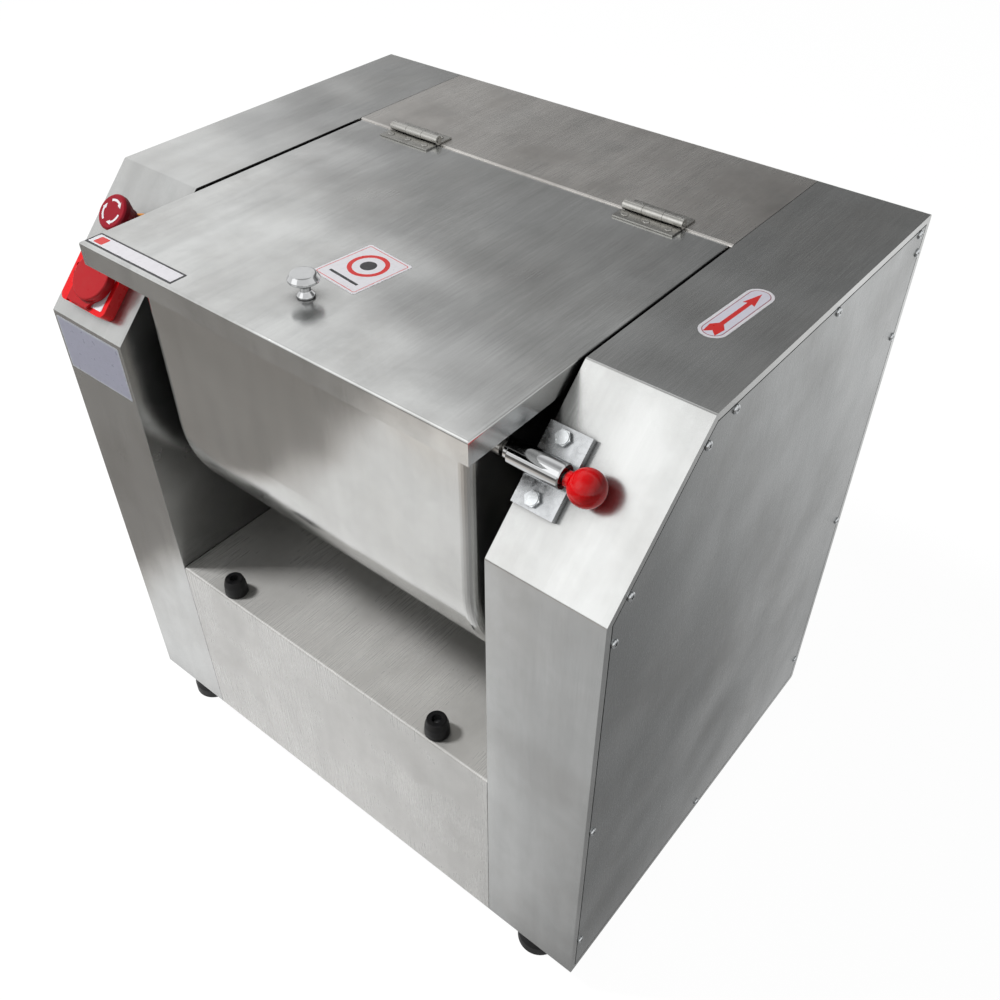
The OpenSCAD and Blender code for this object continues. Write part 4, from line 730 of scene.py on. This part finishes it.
@dataclass
class Stickers:
    """Plain films on the housings and the lid, with no wording, in millimetres and degrees."""

    deck_z: float = 767.0
    front_y: float = -283.75
    arrow_centre: Point = (310.0, -13.75)
    arrow_size: Point = (99.0, 27.0)
    arrow_turn: float = 86.5
    arrow_steps: int = 12
    ring_centre: Point = (4.5, -162.75)
    ring_size: Point = (61.0, 70.0)
    ring_turn: float = -7.0
    ring_middle: Point = (0.0, 7.0)
    ring_radii: tuple[float, float] = (20.0, 15.5)
    dot_radius: float = 8.0
    bar_size: Point = (40.0, 3.0)
    bar_drop: float = 22.0
    strip_centre: Point = (-176.0, -281.5)
    strip_size: Point = (130.0, 19.5)
    block_size: Point = (13.0, 11.0)
    block_offset: float = 51.0
    plate_centre: Point = (-310.5, 599.0)
    plate_size: Point = (113.0, 68.0)

    def turned(self, centre: Point, degrees: float) -> Matrix:
        """Frame on the top faces, turned about the vertical.

        Args:
            centre: The film's centre.
            degrees: How far it is turned.

        Returns:
            The frame.
        """
        a = math.radians(degrees)
        across, up = (math.cos(a), math.sin(a), 0), (-math.sin(a), math.cos(a), 0)
        return plane((*centre, self.deck_z), across, up)

    def arrow(self) -> list[Point]:
        """Straight arrow with a feathered tail, along the first axis.

        Returns:
            Its outline.
        """
        tail = [(-38.0, 0.0), (-44.0, 6.0), (-31.0, 7.5), (-24.0, 2.2)]
        half = tail + [(20.0, 2.2), (18.0, 6.0), (41.0, 0.0)]
        return half + [(x, -y) for x, y in reversed(half[1:-1])]

    def direction_film(self) -> Film:
        """White film with round ends, a thin line inside its edge and an arrow.

        Returns:
            The film on the right housing's top.
        """
        size, steps, end = self.arrow_size, self.arrow_steps, self.arrow_size[1] / 2
        layers = [
            Layer("base", [rounded_box(size, end - 0.1, 0.0, steps)], FILM_WHITE, 0.02, 0.18),
            Layer("line", [rounded_box(size, end - 3.1, 3.0, steps)], FILM_LINE, 0.16, 0.22),
            Layer("field", [rounded_box(size, end - 4.0, 3.8, steps)], FILM_PALE, 0.20, 0.26),
            Layer("arrow", [self.arrow()], FILM_RED, 0.24, 0.30),
        ]
        return Film("direction_film", "machine", self.turned(self.arrow_centre, self.arrow_turn), layers)

    def lid_film(self) -> Film:
        """White film with a red line inside its edge, and a ring, a dot and a bar on it.

        Returns:
            The film on the lid.
        """
        size = self.ring_size
        line = [rounded_box(size, 2.0, 2.5), rounded_box(size, 1.4, 3.2)]
        ring = [circle(radius, self.ring_middle) for radius in self.ring_radii]
        bar = [(x, y - self.bar_drop) for x, y in rounded_box(self.bar_size, 1.0)]
        layers = [
            Layer("base", [rounded_box(size, 3.0)], FILM_WHITE, 0.02, 0.18),
            Layer("line", line, FILM_RED, 0.16, 0.22),
            Layer("ring", ring, FILM_RED, 0.16, 0.24),
            Layer("dot", [circle(self.dot_radius, self.ring_middle)], FILM_BLACK, 0.16, 0.24),
            Layer("bar", [bar], FILM_BLACK, 0.16, 0.24),
        ]
        return Film("lid_film", "lid", self.turned(self.ring_centre, self.ring_turn), layers)

    def edge_film(self) -> Film:
        """White strip with a dark edge and a red block at its left end.

        Returns:
            The film along the lid's front edge.
        """
        size = self.strip_size
        block = [(x - self.block_offset, y) for x, y in rounded_box(self.block_size, 1.5)]
        layers = [
            Layer("base", [rounded_box(size, 1.0)], FILM_BLACK, 0.02, 0.18),
            Layer("field", [rounded_box(size, 0.6, 2.2)], FILM_WHITE, 0.16, 0.24),
            Layer("block", [block], FILM_RED, 0.22, 0.30),
        ]
        return Film("edge_film", "lid", self.turned(self.strip_centre, 0.0), layers)

    def blank_plate(self) -> Film:
        """Silver plate with a plain grey field.

        Returns:
            The plate on the left housing's front.
        """
        size, (x, z) = self.plate_size, self.plate_centre
        layers = [
            Layer("base", [rounded_box(size, 2.0)], FILM_SILVER, 0.02, 0.20),
            Layer("field", [rounded_box(size, 1.5, 2.5)], FILM_GREY, 0.18, 0.26),
        ]
        return Film("blank_plate", "machine", plane((x, self.front_y, z), (1, 0, 0), (0, 0, 1)), layers)

    def build(self, context: Context) -> None:
        """Builds the four films.

        Args:
            context: The frame and the paints.
        """
        for film in (self.direction_film(), self.lid_film(), self.edge_film(), self.blank_plate()):
            film.build(context)


@dataclass
class Controls:
    """Print on the stop button and the rotary switch's face plate, in millimetres and degrees."""

    tilt: float = 44.342
    slope_y: float = -283.75
    slope_z: float = 638.0
    button_x: float = -298.0
    button_along: float = 123.5
    button_top: float = 41.5
    arc_count: int = 3
    arc_radius: float = 12.2
    arc_width: float = 2.5
    arc_head: float = 5.4
    arc_start: float = 118.0
    arc_sweep: float = 62.0
    arc_film: float = 0.12
    switch_x: float = -311.0
    switch_along: float = 54.0
    switch_top: float = 14.0
    face_size: Point = (29.0, 60.0)
    face_corner: float = 2.0
    face_offset: float = 15.5
    face_film: float = 0.3

    def on_slope(self, x: float, along: float, height: float) -> Matrix:
        """Frame on the left control slope.

        Args:
            x: Its place across the machine.
            along: Its place up the slope.
            height: Its height above the slope.

        Returns:
            The frame.
        """
        a = math.radians(self.tilt)
        up, out = Vector((0, math.cos(a), math.sin(a))), Vector((0, -math.sin(a), math.cos(a)))
        origin = Vector((x, self.slope_y, self.slope_z)) + along * up + height * out
        return plane(origin, (1, 0, 0), up)

    def build(self, context: Context) -> None:
        """Builds the arc arrows and the switch's plate.

        Args:
            context: The frame and the paints.
        """
        top = self.on_slope(self.button_x, self.button_along, self.button_top)
        sweep = math.radians(self.arc_sweep)
        for i in range(self.arc_count):
            start = math.radians(self.arc_start - 360.0 / self.arc_count * i)
            arc = arc_arrow(self.arc_radius, self.arc_width, start, sweep, self.arc_head)
            piece = flat_plate(f"button_arrow_{i}", [arc], top, 0.0, self.arc_film)
            context.finish_piece(piece, FILM_WHITE, "estop_button")
        face = self.on_slope(self.switch_x, self.switch_along, self.switch_top)
        plate = [(x + self.face_offset, y) for x, y in rounded_box(self.face_size, self.face_corner)]
        piece = flat_plate("switch_face_plate", [plate], face, 0.0, self.face_film)
        context.finish_piece(piece, FILM_WHITE, "machine")


@dataclass
class ScrewRecesses:
    """Cross recesses in the cover screws' pan heads, drawn as dark crosses of painted shade, in
    millimetres.
    """

    node: str = "cover_screws"
    body: str = "machine"
    arm: float = 2.2
    half_width: float = 0.55
    depth: float = 0.3
    proud: float = 0.03
    # Each screw stopped at another angle, here in radians
    turn_step: float = 0.7
    weld: float = 0.001

    def heads(self, piece: bpy.types.Object) -> list[tuple[Vector, Vector]]:
        """Finds each loose solid of a node.

        Args:
            piece: The CAD node's object.

        Returns:
            Lowest and highest corner of each solid.
        """
        mesh = piece.data
        root = list(range(len(mesh.vertices)))

        def find(i: int) -> int:
            """Finds the root of a vertex's set.

            Args:
                i: The vertex.

            Returns:
                Its root.
            """
            while root[i] != i:
                root[i] = root[root[i]]
                i = root[i]
            return i

        places: dict[tuple[int, ...], int] = {}
        for v in mesh.vertices:
            key = tuple(round(c / (self.weld * MM)) for c in v.co)
            root[v.index] = places.setdefault(key, v.index)
        for edge in mesh.edges:
            root[find(edge.vertices[0])] = find(edge.vertices[1])
        boxes: dict[int, tuple[Vector, Vector]] = {}
        for v in mesh.vertices:
            low, high = boxes.setdefault(find(v.index), (v.co.copy(), v.co.copy()))
            for k in range(3):
                low[k], high[k] = min(low[k], v.co[k]), max(high[k], v.co[k])
        return list(boxes.values())

    def cross(self) -> list[Point]:
        """Draws the recess.

        Returns:
            Its outline.
        """
        a, w = self.arm, self.half_width
        outline = []
        for t in (k * math.pi / 2 for k in range(4)):
            for x, y in ((a, -w), (a, w), (w, w)):
                outline.append((x * math.cos(t) - y * math.sin(t), x * math.sin(t) + y * math.cos(t)))
        return outline

    def build(self, context: Context) -> None:
        """Puts a recess on each head.

        Args:
            context: The frame and the paints.
        """
        for i, (low, high) in enumerate(self.heads(context.frame["nodes"][self.node])):
            spot, size = (low + high) / 2, high - low
            # A pan head is flattest along its own axis, and it faces away from the machine
            axis = min(range(3), key=lambda k: size[k])
            out = Vector((0, 0, 0))
            out[axis] = 1.0 if axis != 0 or spot.x > 0 else -1.0
            spot[axis] = high[axis] if out[axis] > 0 else low[axis]
            side = Vector((0, 0, 1)) if axis != 2 else Vector((0, 1, 0))
            at = plane(spot / MM, side.cross(out), side) @ Matrix.Rotation(self.turn_step * i, 4, "Z")
            piece = flat_plate(f"{self.node}_recess_{i}", [self.cross()], at, -self.depth, self.proud)
            context.finish_piece(piece, RECESS, self.body)


@dataclass
class Machine:
    """Carried-over CAD nodes and the finish of each."""

    finishes: dict[str, Finish] = field(
        default_factory=lambda: {
            "left_housing": WRAPPER,
            "right_housing": WRAPPER,
            "left_side_cover": COVER,
            "right_side_cover": COVER,
            "front_panel": PANEL,
            "rear_panel": PANEL,
            "rear_deck": DECK,
            "lid": LID,
            "tub": TROUGH,
            "cover_screws": ZINC,
            "foot_studs": ZINC,
            "bumper_screws": ZINC,
            "hinge_deck_screws": HINGE_STEEL,
            "hinge_lid_screws": HINGE_STEEL,
            "bearing_housing_bolts": ZINC,
            "motor_bolts": ZINC,
            "gear_retainer": ZINC,
            "lock_bracket": DULL_ZINC,
            "lock_bolts": ZINC,
            "lock_barrel": CHROME,
            "lid_knob": CHROME,
            "hinge_fixed_leaves": HINGE_STEEL,
            "hinge_moving_leaves": HINGE_STEEL,
            "hinge_pins": HINGE_STEEL,
            "tub_hubs": MACHINED,
            "tub_lock_boss": MACHINED,
            "agitator_shaft": MACHINED,
            "agitator_bars": MACHINED,
            "gear_key": MACHINED,
            "countershaft": MACHINED,
            "motor_shaft": MACHINED,
            "lock_pin": MACHINED,
            "lock_spring": SPRING,
            "shaft_bearings": GROUND,
            "countershaft_bearings": GROUND,
            "main_gear": GEAR,
            "pinion": GEAR,
            "base_frame": FRAME_PAINT,
            "left_bearing_plate": FRAME_PAINT,
            "right_bearing_plate": FRAME_PAINT,
            "rear_tie_bar": FRAME_PAINT,
            "motor_plate": FRAME_PAINT,
            "bearing_housings": CAST_PAINT,
            "outboard_bracket": CAST_PAINT,
            "large_pulley": CAST_PAINT,
            "motor_pulley": CAST_PAINT,
            "motor_body": MOTOR_PAINT,
            "motor_fan_cowl": MOTOR_PAINT,
            "motor_terminal_box": MOTOR_PAINT,
            "v_belts": BELT,
            "shaft_seals": SEAL,
            "feet": RUBBER,
            "sill_bumpers": RUBBER,
            "cable_gland": BLACK_NYLON,
            "estop_stem": BLACK_NYLON,
            "estop_base": COLLAR_ORANGE,
            "estop_head": BUTTON_RED,
            "switch_box": SWITCH_RED,
            "switch_knob": DIAL_RED,
            "lock_ball": BALL_RED,
        }
    )

    def build(self, context: Context) -> None:
        """Dresses every carried-over node.

        Args:
            context: The frame and the paints.
        """
        for name, finish in self.finishes.items():
            context.dress(name, finish)


# Painted reflections: brightness of the floor in the sheets' mirror images only, along X, across both and
# along Y in metres
GROUND_LEFT = span(-0.62, -0.52, 0.26, 1.04)
GROUND_ACROSS = span(0.24, 0.48, 1.0, 0.58)
GROUND_RIGHT = span(0.25, 0.42, 1.0, 0.50)
GROUND_BEYOND = span(0.20, 1.40, 0.0, 0.52)
# Share of the warm tint painted into the mirrored floor, along X and along Y in metres
WARM_LEFT = span(-0.62, -0.52, 1.0, 0.0)
WARM_AHEAD = span(-1.0, -0.85, 1.0, 0.0)
# Darkness of the sky by direction, with Y to the back and Z up
SKY_BACK = span(0.46, 0.55, 0.0, 0.66)
SKY_FAR_BACK = span(0.65, 0.84, 0.0, 0.19)
SKY_FRONT = span(-0.20, 0.20, 0.08, 0.0)
SKY_TOP = span(0.84, 0.90, 0.0, 0.5)
SKY_HORIZON = span(0.10, 0.30, 0.0, 1.0)


@dataclass(frozen=True)
class Softbox:
    """Square lamp that faces the machine: its centre and side in metres, and its watts."""

    name: str
    place: Triple
    size: float
    watts: float
    mirrored: bool = True


@dataclass
class Studio:
    """Camera, floor, world and lamps, in metres."""

    eye: Triple = (0.6320, -0.74045, 1.2386)
    forward: Triple = (-0.4666, 0.5797, -0.6680)
    right: Triple = (0.7786, 0.6275, 0.0007)
    lens_mm: float = 36.91
    sensor_mm: float = 36.0
    floor_half: float = 12.0
    floor_colour: str = "#f2f2f2"
    # A touch over white, so that the floor meets the sky without an edge
    floor_power: float = 1.06
    # The rest is lit by the lamps and keeps the shadow
    floor_glow: float = 0.92
    floor_slant: float = -0.6
    warm: Colour = (1.0, 0.93, 0.86, 1.0)
    sky_power: float = 1.05
    sky_dark: str = "#18191a"
    sky_fill: str = "#3e4042"
    sky_slant: float = -0.2
    aim_height: float = 0.45
    # The strong key stays out of reflections, where it would clip the sheets
    lamps: tuple[Softbox, ...] = (
        Softbox("key_softbox", (-2.15, -1.45, 3.65), 0.7, 150.0, mirrored=False),
        Softbox("slope_softbox", (-1.45, -2.8, 2.75), 2.4, 14.0),
        Softbox("fill_softbox", (2.2, -1.6, 1.5), 1.6, 3.0),
    )

    def build(self) -> None:
        """Makes the whole studio."""
        self.make_camera()
        self.make_floor()
        self.make_world()
        for lamp in self.lamps:
            self.hang(lamp)

    def make_camera(self) -> None:
        """Puts the camera at the photograph's viewpoint."""
        data = bpy.data.cameras.new("camera")
        data.lens = self.lens_mm
        data.sensor_width = self.sensor_mm
        data.clip_start, data.clip_end = 0.02, 100.0
        camera = bpy.data.objects.new("camera", data)
        back = -Vector(self.forward).normalized()
        side = Vector(self.right).normalized()
        axes = Matrix((side, back.cross(side), back)).transposed()
        camera.matrix_world = Matrix.Translation(Vector(self.eye)) @ axes.to_4x4()
        bpy.context.collection.objects.link(camera)
        bpy.context.scene.camera = camera

    def make_floor(self) -> None:
        """Makes a pale floor that keeps the object's shadow, with a painted pattern that only its
        reflections show.
        """
        h = self.floor_half
        mesh = bpy.data.meshes.new("studio_floor")
        mesh.from_pydata([(-h, -h, 0), (h, -h, 0), (h, h, 0), (-h, h, 0)], [], [(0, 1, 2, 3)])
        floor = bpy.data.objects.new("studio_floor", mesh)
        bpy.context.collection.objects.link(floor)
        material, tree, place = start_material("matt_floor_paint")
        mesh.materials.append(material)
        spot = add(tree, "SeparateXYZ", {0: place}).outputs
        rays = add(tree, "LightPath").outputs
        # Painted reflections: in the sheets' mirror images only, the floor is dull far to the left, bright
        # in front and dull to the right
        left = add(tree, "MapRange", {"Value": spot["X"], **GROUND_LEFT})
        slant = add(tree, "Math", {0: spot["Y"], 1: self.floor_slant}, operation="MULTIPLY")
        across = add(tree, "Math", {0: spot["X"], 1: slant}, operation="ADD")
        middle = add(tree, "MapRange", {"Value": across, **GROUND_ACROSS})
        right = add(tree, "MapRange", {"Value": spot["X"], **GROUND_RIGHT})
        mirrored = add(tree, "Math", {0: left, 1: middle}, operation="MULTIPLY")
        mirrored = add(tree, "Math", {0: mirrored, 1: right}, operation="MULTIPLY")
        beyond = add(tree, "MapRange", {"Value": spot["Y"], **GROUND_BEYOND})
        mirrored = add(tree, "Math", {0: mirrored, 1: beyond}, operation="ADD")
        power = add(tree, "Mix", {0: rays["Is Glossy Ray"], 2: self.floor_power, 3: mirrored})
        # Painted reflection tint: the mirrored floor far ahead and to the left is a little warm
        aside = add(tree, "MapRange", {"Value": spot["X"], **WARM_LEFT})
        ahead = add(tree, "MapRange", {"Value": spot["Y"], **WARM_AHEAD})
        bare = add(tree, "Math", {0: aside, 1: ahead}, operation="MAXIMUM")
        bare = add(tree, "Math", {0: bare, 1: rays["Is Glossy Ray"]}, operation="MULTIPLY")
        tint = add(tree, "Mix", {0: bare, 6: WHITE, 7: self.warm}, data_type="RGBA")
        glow = add(tree, "Emission", {"Color": tint, "Strength": power})
        lit = add(tree, "BsdfDiffuse", {"Color": linear(self.floor_colour)})
        seen = add(tree, "Math", {0: rays["Is Camera Ray"], 1: rays["Is Glossy Ray"]}, operation="MAXIMUM")
        share = add(tree, "Math", {0: seen, 1: self.floor_glow}, operation="MULTIPLY")
        add(tree, "OutputMaterial", {"Surface": add(tree, "MixShader", {0: share, 1: lit, 2: glow})})

    def make_world(self) -> None:
        """Makes the soft surround, white at the horizon and darker behind and above."""
        world = bpy.data.worlds.new("studio")
        world.use_nodes = True
        bpy.context.scene.world = world
        tree = world.node_tree
        tree.nodes.clear()
        parts = add(tree, "SeparateXYZ", {0: add(tree, "TexCoord").outputs["Generated"]}).outputs
        rays = add(tree, "LightPath").outputs
        # Darkest behind and straight above, a little dark in front, and only above the horizon
        lift = add(tree, "Math", {0: parts["Z"], 1: self.sky_slant}, operation="MULTIPLY")
        lean = add(tree, "Math", {0: parts["Y"], 1: lift}, operation="ADD")
        dark = add(tree, "MapRange", {"Value": lean, **SKY_BACK})
        for axis, reach in (("Y", SKY_FAR_BACK), ("Y", SKY_FRONT), ("Z", SKY_TOP)):
            more = add(tree, "MapRange", {"Value": parts[axis], **reach})
            dark = add(tree, "Math", {0: dark, 1: more}, operation="ADD")
        height = add(tree, "MapRange", {"Value": parts["Z"], **SKY_HORIZON})
        dark = add(tree, "Math", {0: dark, 1: height}, operation="MULTIPLY")
        bright = (self.sky_power, self.sky_power, self.sky_power, 1.0)
        shown = add(tree, "Mix", {0: dark, 6: bright, 7: linear(self.sky_dark)}, data_type="RGBA")
        # Matt surfaces get only a dim even fill from the sky, so the lamps shape them
        seen = add(tree, "Math", {0: rays["Is Camera Ray"], 1: rays["Is Glossy Ray"]}, operation="MAXIMUM")
        seen = add(tree, "Math", {0: seen, 1: rays["Is Transmission Ray"]}, operation="MAXIMUM")
        colour = add(tree, "Mix", {0: seen, 6: linear(self.sky_fill), 7: shown}, data_type="RGBA")
        add(tree, "OutputWorld", {"Surface": add(tree, "Background", {"Color": colour, "Strength": 1.0})})

    def hang(self, lamp: Softbox) -> None:
        """Hangs one softbox.

        Args:
            lamp: The softbox.
        """
        data = bpy.data.lights.new(lamp.name, "AREA")
        data.shape = "SQUARE"
        data.size = lamp.size
        data.energy = lamp.watts
        light = bpy.data.objects.new(lamp.name, data)
        light.location = lamp.place
        light.visible_glossy = lamp.mirrored
        aim = Vector((0.0, 0.0, self.aim_height)) - Vector(lamp.place)
        light.rotation_mode = "QUATERNION"
        light.rotation_quaternion = aim.to_track_quat("-Z", "Y")
        bpy.context.collection.objects.link(light)


def set_view() -> None:
    """Sets the plain view transform."""
    bpy.context.scene.view_settings.view_transform = "Standard"


def main() -> None:
    """Builds the sub-assemblies in order and reports each piece."""
    logging.basicConfig(level=logging.INFO, format="%(message)s")
    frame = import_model()
    set_view()
    context = Context(frame, Paintbox())
    Studio().build()
    Machine().build(context)
    Stickers().build(context)
    Controls().build(context)
    ScrewRecesses().build(context)


if __name__ == "__main__":
    main()
